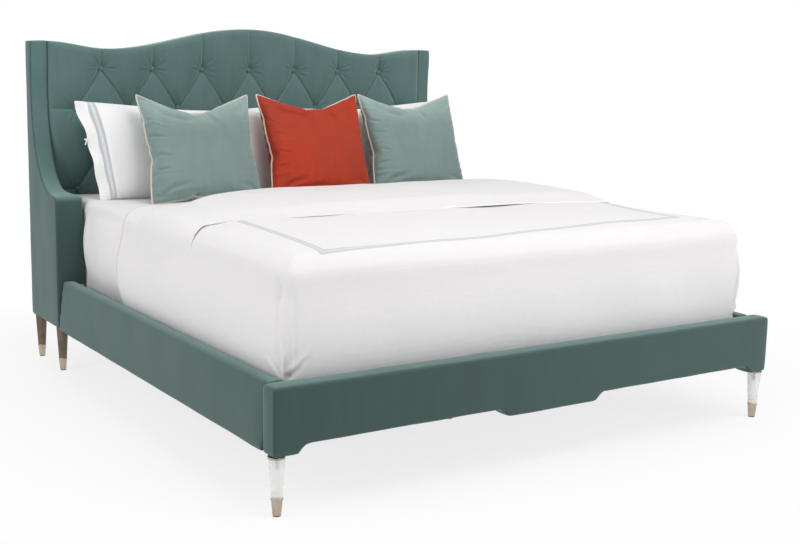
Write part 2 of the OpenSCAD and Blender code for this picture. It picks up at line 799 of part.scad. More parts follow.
// ---------- Mattress and bedding ----------

// Block with round upright edges, in plan between two corners
module soft_block(low, high, r) translate([0, 0, low[2]]) linear_extrude(high[2] - low[2])
    polygon(concat(arc([high[0] - r, high[1] - r], r, 0, 90), arc([low[0] + r, high[1] - r], r, 90, 180),
                   arc([low[0] + r, low[1] + r], r, 180, 270), arc([high[0] - r, low[1] + r], r, 270, 360)));

// One half of the split box spring: a cloth box round its timber
module box_spring(side) color(white) on_side(side) difference() {
    soft_block([seat, mattress_front_y, box_z], [mattress_w / 2, mattress_back_y, box_z + box_t], box_round);
    soft_block([seat + box_cloth_t, mattress_front_y + box_cloth_t, box_z + box_cloth_t],
               [mattress_w / 2 - box_cloth_t, mattress_back_y - box_cloth_t, box_z + box_t - box_cloth_t],
               box_round - box_cloth_t);
}

module left_box_spring() box_spring(-1);

module right_box_spring() box_spring(1);

// Two long sides and a ladder of cross bars in each half
module box_spring_frames() color(timber)
    for (side = [-1, 1]) on_side(side) {
        low_x = seat + box_cloth_t;
        high_x = mattress_w / 2 - box_cloth_t;
        low_y = mattress_front_y + box_round;
        high_y = mattress_back_y - box_round;
        low_z = box_z + box_cloth_t;
        high_z = box_z + box_t - box_cloth_t;
        for (x = [low_x, high_x - box_bar_t]) block([x, low_y, low_z], [x + box_bar_t, high_y, high_z]);
        for (k = [0:box_bars - 1]) let (y = low_y + (high_y - low_y - box_bar_w) * k / (box_bars - 1))
            block([low_x + box_bar_t, y, high_z - box_bar_t], [high_x - box_bar_t, y + box_bar_w, high_z]);
    }

module mattress() color(white) difference() {
    soft_block([-mattress_w / 2, mattress_front_y, mattress_z],
               [mattress_w / 2, mattress_back_y, mattress_top_z], mattress_round);
    soft_block([-mattress_w / 2 + ticking_t, mattress_front_y + ticking_t, mattress_z + ticking_t],
               [mattress_w / 2 - ticking_t, mattress_back_y - ticking_t, mattress_top_z - ticking_t],
               mattress_round - ticking_t);
}

// Pocketed springs that fill the mattress
module mattress_springs() color(white)
    for (i = [0:springs_x - 1]) for (j = [0:springs_y - 1])
        translate([(i - (springs_x - 1) / 2) * spring_d,
                   (mattress_front_y + mattress_back_y) / 2 + (j - (springs_y - 1) / 2) * spring_d,
                   mattress_z + ticking_t]) difference() {
            cylinder(d = spring_d - seat, h = mattress_t - 2 * ticking_t, $fn = 32);
            translate([0, 0, -join]) cylinder(d = spring_d - 2 * pocket_t, h = mattress_t, $fn = 32);
        }

module tucked_sheet() color(white) difference() {
    soft_block([-sheet_half, mattress_front_y - sheet_t, tuck_z],
               [sheet_half, mattress_back_y, sheet_top_z], mattress_round + sheet_t);
    soft_block([-mattress_w / 2, mattress_front_y, tuck_z - join],
               [mattress_w / 2, mattress_back_y, mattress_top_z], mattress_round);
    block([-half_w, mattress_back_y - mattress_round, 0], [half_w, back_y, mattress_top_z - mattress_round]);
}

// Long section of the duvet across the bed, with round shoulders
function duvet_section(half, top_z, low_z, r) = concat([[half, low_z]], arc([half - r, top_z - r], r, 0, 90),
    arc([-half + r, top_z - r], r, 90, 180), [[-half, low_z]]);

module duvet() color(white) difference() {
    intersection() {
        along_y(mattress_front_y - sheet_t - duvet_foot_t, duvet_back_y)
            polygon(duvet_section(duvet_w / 2, duvet_top_z, duvet_low_z, mattress_round));
        along_x(-half_w, half_w) polygon(concat(
            [[duvet_back_y, duvet_low_z], [duvet_back_y, duvet_top_z]],
            arc([mattress_front_y - sheet_t - duvet_foot_t + mattress_round, duvet_top_z - mattress_round],
                mattress_round, 90, 180),
            [[mattress_front_y - sheet_t - duvet_foot_t, duvet_low_z]]));
    }
    block([-sheet_half, mattress_front_y - sheet_t, 0], [sheet_half, back_y, sheet_top_z]);
}

module duvet_fold() color(white) difference() {
    along_y(fold_front_y, duvet_back_y)
        polygon(duvet_section(fold_w / 2, duvet_top_z + fold_t, rail_top_z + 4, mattress_round));
    along_y(fold_front_y - join, duvet_back_y + join)
        polygon(duvet_section(duvet_w / 2, duvet_top_z, 0, mattress_round));
}

// ---------- Pillows ----------

// Crowned pillow, standing on its lower edge and leaning back
module pillow(w, h, t, lean, x, y, base_z) {
    r = 12;
    translate([x, y, base_z + seat + r + (h / 2 - r) * cos(lean)]) rotate([-lean, 0, 0]) hull() {
        for (sx = [-1, 1]) for (sz = [-1, 1])
            translate([sx * (w / 2 - r), 0, sz * (h / 2 - r)]) sphere(r = r, $fn = 12);
        scale([0.41 * w, t / 2, 0.41 * h]) sphere(r = 1, $fn = 24);
    }
}

module sham(side) color(white)
    pillow(sham_w, sham_h, sham_t, sham_lean, side * (sham_w + pillow_gap) / 2,
           back_y - sham_back + sham_h / 2 * sin(sham_lean), sheet_top_z);

module left_sham() sham(-1);

module right_sham() sham(1);

module sleeping_pillows() color(white)
    for (side = [-1, 1])
        pillow(pillow_w, pillow_h, pillow_t, 0, side * (pillow_w + pillow_gap) / 2,
               pad_front_y - pillow_t / 2 - lift_gap, sheet_top_z);

module throw_pillow(place, tint) color(tint)
    pillow(throw_w, throw_h, throw_t, throw_lean, throw_x[place],
           back_y - throw_back + throw_h / 2 * sin(throw_lean), sheet_top_z);

module left_throw_pillow() throw_pillow(0, sage);

module centre_throw_pillow() throw_pillow(1, orange);

module right_throw_pillow() throw_pillow(2, sage);

headboard_panel();
headboard_back();
headboard_stiles();
headboard_top_rail();
headboard_bottom_rail();
tufted_pad();
tuft_buttons();
left_wing_core();
right_wing_core();
left_wing_cover();
right_wing_cover();
wing_bolts();
foot_core();
foot_cover();
left_rail_core();
right_rail_core();
left_rail_cover();
right_rail_cover();
left_ledger();
right_ledger();
ledger_screws();
rail_brackets();
bracket_bolts();
left_foot_leg();
right_foot_leg();
left_rear_leg();
right_rear_leg();
left_arm_leg();
right_arm_leg();
leg_collars();
foot_ferrules();
head_ferrules();
leg_bolts();
leg_glides();
slat_1();
slat_2();
slat_3();
slat_4();
slat_5();
slat_screws();
centre_legs();
centre_glide_1();
centre_glide_2();
centre_glide_3();
centre_glide_4();
left_box_spring();
right_box_spring();
box_spring_frames();
mattress();
mattress_springs();
tucked_sheet();
duvet();
duvet_fold();
left_sham();
right_sham();
sleeping_pillows();
left_throw_pillow();
centre_throw_pillow();
right_throw_pillow();
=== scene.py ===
"""Upholstered headboard bed: finishes, padding and bedding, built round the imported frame.

Metres, in the frame of the part: +X across the bed, +Y towards the headboard, +Z up, and the
origin on the floor in the middle of the bed's footprint.
"""
import json
import logging
import math
from collections.abc import Callable, Iterator, Sequence
from contextlib import contextmanager
from dataclasses import dataclass, field
from enum import Enum
from math import copysign, cos, pi, radians, sin

import bmesh
import bpy
import numpy as np
from mathutils import Matrix, Vector

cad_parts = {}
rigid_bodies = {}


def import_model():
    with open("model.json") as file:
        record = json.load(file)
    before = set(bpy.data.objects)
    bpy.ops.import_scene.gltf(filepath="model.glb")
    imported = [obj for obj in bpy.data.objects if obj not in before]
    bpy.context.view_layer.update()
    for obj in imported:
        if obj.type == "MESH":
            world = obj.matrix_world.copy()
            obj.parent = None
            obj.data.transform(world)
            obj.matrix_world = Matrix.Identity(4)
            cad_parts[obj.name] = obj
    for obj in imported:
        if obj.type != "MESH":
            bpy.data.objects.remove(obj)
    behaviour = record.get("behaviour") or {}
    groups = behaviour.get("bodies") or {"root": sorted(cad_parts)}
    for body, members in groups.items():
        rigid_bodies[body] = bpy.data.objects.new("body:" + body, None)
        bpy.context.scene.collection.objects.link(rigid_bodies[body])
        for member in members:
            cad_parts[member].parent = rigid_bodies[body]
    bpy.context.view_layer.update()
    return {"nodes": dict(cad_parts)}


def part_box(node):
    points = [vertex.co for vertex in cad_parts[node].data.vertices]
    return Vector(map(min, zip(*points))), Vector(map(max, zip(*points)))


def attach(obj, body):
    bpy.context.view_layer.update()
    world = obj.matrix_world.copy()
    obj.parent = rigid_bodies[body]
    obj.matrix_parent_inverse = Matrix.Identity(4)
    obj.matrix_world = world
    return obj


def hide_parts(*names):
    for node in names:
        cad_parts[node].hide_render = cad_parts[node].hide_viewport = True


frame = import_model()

LOG = logging.getLogger("bed")
Colour = tuple[float, float, float]
Place = tuple[float, float, float]
Path = Sequence[tuple[float, float]]
Item = bpy.types.Object
Tree = bpy.types.NodeTree
Node = bpy.types.Node
Socket = bpy.types.NodeSocket
Values = np.ndarray
Inputs = dict[str | int, object]
SIDES = ((-1, "left"), (1, "right"))


# ---- workshop


def deselect() -> None:
    """Leaves nothing selected and nothing active."""
    for item in bpy.context.view_layer.objects:
        item.select_set(False)
    bpy.context.view_layer.objects.active = None


def pick(item: Item) -> None:
    """Selects one object and makes it the active one.

    Args:
        item: The object to work on.
    """
    deselect()
    item.select_set(True)
    bpy.context.view_layer.objects.active = item


@contextmanager
def editing(item: Item, mode: str = "FACE") -> Iterator[bmesh.types.BMesh]:
    """Edit mode on one object, with nothing selected at the start.

    Args:
        item: The object to edit.
        mode: What is selected: VERT, EDGE or FACE.

    Yields:
        The mesh being edited.
    """
    pick(item)
    bpy.ops.object.mode_set(mode="EDIT")
    bpy.ops.mesh.select_mode(type=mode)
    bpy.ops.mesh.select_all(action="DESELECT")
    try:
        yield bmesh.from_edit_mesh(item.data)
    finally:
        bpy.ops.object.mode_set(mode="OBJECT")


def choose(item: Item, mesh: bmesh.types.BMesh, kind: str,
           test: Callable[[Vector, Vector], bool]) -> None:
    """Selects faces or edges by their place and direction.

    Args:
        item: The object being edited.
        mesh: Its edit mesh.
        kind: "faces" or "edges".
        test: Told the middle and the normal of a face, or the middle and direction of an edge.
    """
    if kind == "faces":
        for face in mesh.faces:
            face.select = test(face.calc_center_median(), face.normal)
    else:
        for edge in mesh.edges:
            a, b = edge.verts[0].co, edge.verts[1].co
            edge.select = test((a + b) / 2, (b - a).normalized())
    mesh.select_flush_mode()
    bmesh.update_edit_mesh(item.data)


def modify(item: Item, kind: str, **settings: object) -> None:
    """Adds a modifier to an object and applies it.

    Args:
        item: The object.
        kind: The modifier's type.
        settings: The modifier's settings.
    """
    pick(item)
    modifier = item.modifiers.new(kind.title(), kind)
    for name, value in settings.items():
        setattr(modifier, name, value)
    bpy.ops.object.modifier_apply(modifier=modifier.name)


def settle(item: Item) -> None:
    """Moves an object's place, turn and size into its mesh."""
    pick(item)
    bpy.ops.object.transform_apply(location=True, rotation=True, scale=True)


def smooth(item: Item, angle: float = 50.0) -> None:
    """Shades an object smooth up to an angle between its faces."""
    pick(item)
    bpy.ops.object.shade_smooth_by_angle(angle=radians(angle))


def named(name: str) -> Item:
    """Names the object that was just made, and gives it back."""
    bpy.context.object.name = name
    return bpy.context.object


def add_object(name: str, data: bpy.types.ID) -> Item:
    """Puts new data into the scene as an object."""
    item = bpy.data.objects.new(name, data)
    bpy.context.scene.collection.objects.link(item)
    return item


def join(parts: Sequence[Item], name: str) -> Item:
    """Joins objects into the first of them.

    Args:
        parts: The objects.
        name: The joined object's name.

    Returns:
        The joined object.
    """
    pick(parts[0])
    for part in parts:
        part.select_set(True)
    bpy.ops.object.join()
    return named(name)


def face_outwards(item: Item) -> None:
    """Turns all faces of a closed mesh outwards.

    Args:
        item: The mesh object.
    """
    with editing(item, "VERT"):
        bpy.ops.mesh.select_all(action="SELECT")
        bpy.ops.mesh.normals_make_consistent(inside=False)


def points_of(item: Item) -> Values:
    """The points of an object's mesh, one row each."""
    out = np.zeros(len(item.data.vertices) * 3)
    item.data.vertices.foreach_get("co", out)
    return out.reshape(-1, 3)


def set_points(item: Item, points: Values) -> None:
    """Writes an object's points back."""
    item.data.vertices.foreach_set("co", np.asarray(points, np.float32).ravel())
    item.data.update()


def normals_of(item: Item) -> Values:
    """The normals at an object's points, one row each."""
    out = np.zeros(len(item.data.vertices) * 3, np.float32)
    item.data.vertex_normals.foreach_get("vector", out)
    return out.reshape(-1, 3).astype(float)


def soft_mesh(name: str, points: Values, faces: Sequence[Sequence[int]]) -> Item:
    """A new soft piece from its points and faces.

    Args:
        name: The piece's name.
        points: The points, one row each.
        faces: The point numbers of each face.

    Returns:
        The object, smooth and at the origin.
    """
    mesh = bpy.data.meshes.new(name)
    mesh.from_pydata([tuple(p) for p in points], [], [tuple(int(i) for i in f) for f in faces])
    mesh.validate()
    mesh.update()
    item = add_object(name, mesh)
    mesh.shade_smooth()
    return item


def grid_faces(rows: int, columns: int, start: int = 0) -> list[tuple[int, ...]]:
    """Faces of a sheet of points laid row by row.

    Args:
        rows: Number of rows of points.
        columns: Number of points in a row.
        start: Number of the first point.

    Returns:
        One tuple of four point numbers for each face.
    """
    return [(start + r * columns + c, start + r * columns + c + 1,
             start + (r + 1) * columns + c + 1, start + (r + 1) * columns + c)
            for r in range(rows - 1) for c in range(columns - 1)]


def rim(rows: int, columns: int) -> list[int]:
    """Numbers of the points round the rim of a sheet that is laid row by row, in order."""
    number = np.arange(rows * columns).reshape(rows, columns)
    return [*number[0], *number[1:, -1], *number[-1, -2::-1], *number[-2:0:-1, 0]]


def rim_faces(rows: int, columns: int, inner: int) -> list[tuple[int, ...]]:
    """Faces that close the rim between a sheet and its inner copy."""
    ring = rim(rows, columns)
    return [(b, a, inner + a, inner + b) for a, b in zip(ring, ring[1:] + ring[:1])]


def ease(t: Values) -> Values:
    """A smooth step from 0 to 1."""
    t = np.clip(t, 0.0, 1.0)
    return t * t * (3 - 2 * t)


def step(values: Values, start: float, over: float) -> Values:
    """A smooth step from 0 to 1 that starts at a value and is over after a width."""
    return ease((values - start) / over)


def bell(away: Values, width: float) -> Values:
    """A bell curve: 1 where nothing is away from its middle, and near 0 past its width."""
    return np.exp(-(away / width) ** 2)


def arch(t: Values) -> Values:
    """Height of a quarter circle over a share of its radius, clipped to 0 and 1."""
    return np.sqrt(np.maximum(1 - np.clip(t, 0, 1) ** 2, 0))


def ripples(points: Values, size: float, seed: int) -> Values:
    """Slow, even waviness over a set of points.

    Args:
        points: The points, one row each.
        size: Length of a wave.
        seed: Chooses the pattern.

    Returns:
        A height from about -1 to 1 for each point.
    """
    chance = np.random.default_rng(seed)
    total = np.zeros(len(points))
    waves = 9
    for _ in range(waves):
        way = chance.normal(size=points.shape[1])
        way /= np.linalg.norm(way)
        total += np.sin(points @ way * 2 * pi / (size * chance.uniform(0.6, 1.6))
                        + chance.uniform(0, 2 * pi))
    return total / math.sqrt(waves)


def waves(x: Values, y: Values, size: float, seed: int) -> Values:
    """The same waviness over places that are given by two coordinates."""
    return ripples(np.stack([x.ravel(), y.ravel()], 1), size, seed).reshape(x.shape)


def near_path(u: Values, v: Values, path: Path) -> tuple[Values, Values, Values]:
    """How far points of a plane are from a path of straight stretches.

    Args:
        u: The points' first coordinate.
        v: Their second coordinate.
        path: The path's corners.

    Returns:
        The distance, the signed distance to the left, and the share of the path passed.
    """
    corners = np.asarray(path, float)
    lengths = np.linalg.norm(np.diff(corners, axis=0), axis=1)
    passed = np.concatenate([[0.0], np.cumsum(lengths)])
    best = np.full(np.shape(u), np.inf)
    side, share = np.zeros_like(best), np.zeros_like(best)
    for k, (a, b) in enumerate(zip(corners[:-1], corners[1:])):
        d = b - a
        t = np.clip(((u - a[0]) * d[0] + (v - a[1]) * d[1]) / (d @ d), 0, 1)
        du, dv = u - a[0] - t * d[0], v - a[1] - t * d[1]
        far = np.hypot(du, dv)
        closer = far < best
        best = np.where(closer, far, best)
        side = np.where(closer, np.sign(d[0] * dv - d[1] * du) * far, side)
        share = np.where(closer, (passed[k] + t * lengths[k]) / passed[-1], share)
    return best, side, share


@dataclass(frozen=True)
class Crease:
    """A fold line pressed into cloth.

    Args:
        path: Its corners on the cloth.
        width: Half width of the hollow.
        depth: Depth of the hollow.
        lip: Height of the raised edge beside it.
        fade: Share of its length over which it dies away at its ends.
    """

    path: tuple[tuple[float, float], ...]
    width: float
    depth: float
    lip: float = 0.0
    fade: float = 0.3

    def height(self, u: Values, v: Values) -> Values:
        """The crease's height over a set of places, below zero in its hollow."""
        far, side, share = near_path(u, v, self.path)
        fading = ease(np.minimum(share, 1 - share) / self.fade)
        hollow = -self.depth * bell(far, self.width)
        raised_and_painted_light = self.lip * bell(side - 1.6 * self.width, 1.3 * self.width)
        return (hollow + raised_and_painted_light) * fading


def mark(item: Item, title: str, values: Values) -> None:
    """Stores a number for each point of a mesh, for its material to read."""
    attribute = item.data.attributes.new(title, "FLOAT", "POINT")
    attribute.data.foreach_set("value", np.asarray(values, np.float32))


def tube(name: str, path: Sequence[Sequence[float]], radius: float, closed: bool) -> Item:
    """A round cord along a path, as a mesh.

    Args:
        name: The piece's name.
        path: The points it follows.
        radius: Its radius.
        closed: Whether its ends meet.

    Returns:
        The mesh object.
    """
    curve = bpy.data.curves.new(name, "CURVE")
    curve.dimensions = "3D"
    curve.bevel_depth = radius
    curve.bevel_resolution = 2
    spline = curve.splines.new("POLY")
    spline.points.add(len(path) - 1)
    for point, place in zip(spline.points, path):
        point.co = (*place, 1.0)
    spline.use_cyclic_u = closed
    curve.use_fill_caps = not closed
    pick(add_object(name, curve))
    bpy.ops.object.convert(target="MESH")
    bpy.ops.object.shade_smooth()
    return named(name)


def place_piece(item: Item, body: str, finish: "Finish", stands_for: Sequence[str] = ()) -> None:
    """Dresses a piece, hides the nodes it stands for and lets it ride on its body.

    Args:
        item: The piece.
        body: The body it moves with.
        finish: Its finish.
        stands_for: The nodes it replaces.
    """
    item.data.materials.clear()
    item.data.materials.append(finish.material())
    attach(item, body)
    if stands_for:
        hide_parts(*stands_for)
    LOG.info("piece %s on %s, %d points", item.name, body, len(item.data.vertices))


# ---- finishes


class Graph:
    """A node tree that is being wired up.

    Args:
        tree: The tree to add nodes to.
    """

    def __init__(self, tree: Tree) -> None:
        """Keeps the tree."""
        self.tree = tree

    def feed(self, node: Node, sockets: Inputs) -> None:
        """Gives a node's inputs their values or links.

        Args:
            node: The node.
            sockets: Values or sockets for its inputs, by name or number.
        """
        for name, value in sockets.items():
            if isinstance(value, Socket):
                self.tree.links.new(value, node.inputs[name])
            else:
                node.inputs[name].default_value = value

    def add(self, kind: str, sockets: Inputs | None = None,
            **settings: object) -> Node:
        """Adds a node.

        Args:
            kind: The node's type.
            sockets: Values or sockets for its inputs, by name or number.
            settings: Its own settings.

        Returns:
            The node.
        """
        node = self.tree.nodes.new(kind)
        for name, value in settings.items():
            setattr(node, name, value)
        self.feed(node, sockets or {})
        return node

    def maths(self, operation: str, a: object, b: object = 0.0) -> Socket:
        """A Math node's result."""
        return self.add("ShaderNodeMath", {0: a, 1: b}, operation=operation).outputs[0]

    def noise(self, vector: object, scale: object, detail: float = 2.0) -> Socket:
        """A noise texture's value."""
        return self.add("ShaderNodeTexNoise",
                        {"Vector": vector, "Scale": scale, "Detail": detail}).outputs["Fac"]

    def spread(self, value: object, low: float, high: float, to_low: float,
               to_high: float) -> Socket:
        """A value stretched from one range to another, and clipped."""
        return self.add("ShaderNodeMapRange",
                        {"Value": value, "From Min": low, "From Max": high,
                         "To Min": to_low, "To Max": to_high}).outputs["Result"]

    def mix(self, factor: object, a: object, b: object) -> Socket:
        """Two colours mixed."""
        return self.add("ShaderNodeMix", {0: factor, 6: a, 7: b}, data_type="RGBA").outputs[2]

    def number(self, attribute: str) -> Socket:
        """A number that the mesh stores for each of its points."""
        return self.add("ShaderNodeAttribute", attribute_name=attribute).outputs["Fac"]

    def bump(self, height: object, strength: float, depth: float) -> Socket:
        """A normal that a height has roughened."""
        return self.add("ShaderNodeBump", {"Strength": strength, "Distance": depth,
                                           "Height": height}).outputs["Normal"]

    def effect(self, kind: "Effect", **sockets: object) -> bpy.types.bpy_prop_collection:
        """A shared effect's outputs; its group is built the first time it is asked for."""
        tree = bpy.data.node_groups.get(kind.value) or EFFECTS[kind]()
        return self.add("ShaderNodeGroup", sockets, node_tree=tree).outputs


class Effect(Enum):
    """Shader groups that several finishes share."""

    NAP = "velvet_nap"
    WEAVE = "cloth_weave"
    GRAIN = "timber_grain"
    HANDLING = "handled_metal"


VECTOR, NUMBER = "NodeSocketVector", "NodeSocketFloat"
KINDS = {"Vector": VECTOR, "Stretch": VECTOR, "Patch": NUMBER, "Threads": NUMBER,
         "Roughness": NUMBER, "Height": NUMBER}


def open_group(effect: Effect, inputs: str, outputs: str) -> tuple[Graph, dict[str, Socket], Node]:
    """A new shader group with its sockets, which are colours where KINDS says nothing else.

    Args:
        effect: Which group it is.
        inputs: Names of its inputs.
        outputs: Names of its outputs.

    Returns:
        The graph inside the group, its inputs by name, and its output node.
    """
    tree = bpy.data.node_groups.new(effect.value, "ShaderNodeTree")
    for way, names in (("INPUT", inputs), ("OUTPUT", outputs)):
        for name in names.split():
            tree.interface.new_socket(name=name, in_out=way,
                                      socket_type=KINDS.get(name, "NodeSocketColor"))
    graph = Graph(tree)
    return graph, graph.add("NodeGroupInput").outputs, graph.add("NodeGroupOutput")


def nap_group() -> Tree:
    """Velvet pile: brushed patches of light and dark nap, and the pile's fine grain."""
    graph, given, made = open_group(Effect.NAP, "Vector Colour Brushed Patch",
                                    "Colour Height Roughness")
    wide = graph.noise(given["Vector"], given["Patch"], 3.0)
    streak_place = graph.add("ShaderNodeMapping", {"Vector": given["Vector"],
                                                   "Scale": (9.0, 9.0, 2.0)})
    streaks = graph.noise(streak_place.outputs["Vector"], 3.0, 3.0)
    pile = graph.noise(given["Vector"], 900.0, 1.0)
    speck = graph.noise(given["Vector"], 260.0, 2.0)
    patch = graph.spread(wide, 0.34, 0.68, 0.0, 0.8)
    streak = graph.spread(streaks, 0.35, 0.7, 0.0, 0.35)
    share = graph.maths("MULTIPLY", graph.maths("ADD", patch, streak), 0.75)
    share = graph.maths("ADD", share, graph.spread(speck, 0.3, 0.7, -0.08, 0.08))
    graph.feed(made, {"Colour": graph.mix(share, given["Colour"], given["Brushed"]),
                      "Height": graph.maths("ADD", pile, graph.maths("MULTIPLY", speck, 0.6)),
                      "Roughness": graph.spread(wide, 0.3, 0.7, 0.62, 0.86)})
    return graph.tree


def weave_group() -> Tree:
    """Plain weave: warp and weft threads, with slight unevenness."""
    graph, given, made = open_group(Effect.WEAVE, "Vector Threads Colour Shade", "Colour Height")
    place = graph.add("ShaderNodeVectorMath", {0: given["Vector"], "Scale": given["Threads"]},
                      operation="SCALE")
    parts = graph.add("ShaderNodeSeparateXYZ", {0: place.outputs["Vector"]})
    warp, weft, rise = (graph.maths("SINE", part) for part in parts.outputs)
    height = graph.maths("ADD", graph.maths("ADD", warp, weft), rise)
    uneven = graph.noise(given["Vector"], 34.0, 3.0)
    slub = graph.noise(given["Vector"], 5.0, 2.0)
    share = graph.maths("ADD", graph.spread(uneven, 0.3, 0.7, 0.0, 0.5),
                        graph.spread(slub, 0.3, 0.7, 0.0, 0.5))
    graph.feed(made, {"Colour": graph.mix(share, given["Colour"], given["Shade"]),
                      "Height": graph.maths("ADD", graph.maths("MULTIPLY", height, 0.16), uneven)})
    return graph.tree


def grain_group() -> Tree:
    """Timber grain: long wavy rings, pores and colour bands."""
    graph, given, made = open_group(Effect.GRAIN, "Vector Pale Dark Stretch", "Colour Height")
    place = graph.add("ShaderNodeVectorMath", {0: given["Vector"], 1: given["Stretch"]},
                      operation="MULTIPLY").outputs["Vector"]
    rings = graph.add("ShaderNodeTexWave", {"Vector": place, "Scale": 1.2, "Distortion": 7.0,
                                            "Detail": 3.0, "Detail Scale": 1.5},
                      bands_direction="DIAGONAL")
    pores = graph.noise(place, 14.0, 4.0)
    share = graph.maths("ADD", graph.maths("MULTIPLY", rings.outputs["Fac"], 0.6),
                        graph.spread(pores, 0.35, 0.7, 0.0, 0.4))
    graph.feed(made, {"Colour": graph.mix(share, given["Pale"], given["Dark"]),
                      "Height": graph.maths("SUBTRACT", 1.0, share)})
    return graph.tree


def handling_group() -> Tree:
    """Handled metal: brushed streaks, cloudy tarnish and small scuffs."""
    graph, given, made = open_group(Effect.HANDLING, "Vector Colour Tarnish Roughness",
                                    "Colour Roughness Height")
    brushed_place = graph.add("ShaderNodeMapping", {"Vector": given["Vector"],
                                                    "Scale": (220, 220, 12)})
    brushed = graph.noise(brushed_place.outputs["Vector"], 3.0, 2.0)
    cloud = graph.noise(given["Vector"], 26.0, 3.0)
    share = graph.spread(cloud, 0.38, 0.72, 0.0, 0.75)
    rough = graph.maths("ADD", given["Roughness"], graph.spread(cloud, 0.3, 0.7, -0.04, 0.1))
    rough = graph.maths("ADD", rough, graph.spread(brushed, 0.3, 0.7, -0.03, 0.05))
    graph.feed(made, {"Colour": graph.mix(share, given["Colour"], given["Tarnish"]),
                      "Roughness": rough, "Height": brushed})
    return graph.tree


EFFECTS = {Effect.NAP: nap_group, Effect.WEAVE: weave_group, Effect.GRAIN: grain_group,
           Effect.HANDLING: handling_group}
MADE: dict["Finish", bpy.types.Material] = {}


def rgba(colour: Colour, share: float = 1.0) -> tuple[float, float, float, float]:
    """A colour made darker or lighter by a share, with full alpha."""
    return (*(min(1.0, c * share) for c in colour), 1.0)


@dataclass(frozen=True)
class Finish:
    """What a surface is finished with.

    Args:
        slot: The record's material slot.
    """

    slot: str

    def material(self) -> bpy.types.Material:
        """The finish's material, built the first time it is asked for."""
        if self in MADE:
            return MADE[self]
        kin = sum(other.slot == self.slot for other in MADE)
        made = MADE[self] = bpy.data.materials.new(f"{self.slot}_{kin + 1}")
        made.use_nodes = True
        made.node_tree.nodes.clear()
        graph = Graph(made.node_tree)
        shader = graph.add("ShaderNodeBsdfPrincipled")
        graph.add("ShaderNodeOutputMaterial", {"Surface": shader.outputs[0]})
        place = graph.add("ShaderNodeTexCoord").outputs["Object"]
        graph.feed(shader, self.inputs(graph, place))
        return made

    def inputs(self, graph: Graph, place: Socket) -> Inputs:
        """The inputs of the finish's shader; each finish has its own."""
        raise NotImplementedError


@dataclass(frozen=True)
class Velvet(Finish):
    """Short-pile velvet that brightens where it is seen edge on.

    Args:
        colour: The pile's colour from straight on.
        sheen: The tint of its edge light.
        glow: How strong the edge light is.
        spread: How wide it spreads.
        raised_and_painted_light: Painted light: a paler pile colour, mixed in as far as the mesh's
            stored attribute asks.
    """

    colour: Colour
    sheen: Colour
    glow: float
    spread: float = 0.5
    raised_and_painted_light: Colour | None = None

    def inputs(self, graph: Graph, place: Socket) -> Inputs:
        """Nap, pile and sheen, with painted light mixed into the pile's colour where the mesh asks
        for it.
        """
        shares = (0.9, 1.25)
        tones = [rgba(self.colour, share) for share in shares]
        if self.raised_and_painted_light:
            # Painted light: where the mesh's attribute asks, both tones are mixed towards the paler
            # colour.
            up = graph.number("nap_and_painted_light")
            tones = [graph.mix(up, tone, rgba(self.raised_and_painted_light, share))
                     for tone, share in zip(tones, shares)]
        nap_and_painted_light = graph.effect(Effect.NAP, Vector=place, Colour=tones[0], Brushed=tones[1], Patch=3.2)
        return {"Base Color": nap_and_painted_light["Colour"], "Roughness": nap_and_painted_light["Roughness"],
                "Specular IOR Level": 0.25, "Sheen Weight": self.glow,
                "Sheen Roughness": self.spread, "Sheen Tint": rgba(self.sheen),
                "Normal": graph.bump(nap_and_painted_light["Height"], 0.35, 0.0006)}


@dataclass(frozen=True)
class Cotton(Finish):
    """Smooth woven cotton.

    Args:
        colour: The cloth's colour.
        threads: Threads in a metre, times two pi.
        wave: Depth of its soft unevenness.
    """

    colour: Colour = (0.84, 0.825, 0.825)
    threads: float = 2600.0
    wave: float = 0.0012

    def inputs(self, graph: Graph, place: Socket) -> Inputs:
        """The weave and a faint sheen."""
        cloth = graph.effect(Effect.WEAVE, Vector=place, Threads=self.threads,
                             Colour=rgba(self.colour), Shade=rgba(self.colour, 0.975))
        return {"Base Color": cloth["Colour"], "Roughness": 0.8, "Specular IOR Level": 0.2,
                "Sheen Weight": 0.15, "Sheen Roughness": 0.6,
                "Normal": graph.bump(cloth["Height"], 0.5, self.wave)}


@dataclass(frozen=True)
class Trimmed(Cotton):
    """Woven cotton with twin rows of stitching, set by the cloth's own attribute "trim".

    Args:
        thread: Colour of the stitching.
        rows: Distance of each row's middle from the trim line, and the rows' half width.
    """

    thread: Colour = (0.56, 0.57, 0.58)
    rows: tuple[float, float] = (0.0095, 0.0036)

    def inputs(self, graph: Graph, place: Socket) -> Inputs:
        """The weave, and the stitched rows over it."""
        found = super().inputs(graph, place)
        middle, half = self.rows
        trim = graph.maths("ABSOLUTE", graph.number("trim"))
        away = graph.maths("ABSOLUTE", graph.maths("SUBTRACT", trim, middle))
        mask = graph.maths("MAXIMUM", graph.spread(away, half, half * 1.5, 1.0, 0.0),
                           graph.spread(trim, middle, middle * 1.2, 0.55, 0.0))
        ply = graph.noise(place, 700.0, 1.0)
        mask = graph.maths("MULTIPLY", mask, graph.spread(ply, 0.2, 0.5, 0.75, 1.0))
        found["Base Color"] = graph.mix(mask, found["Base Color"], rgba(self.thread))
        return found


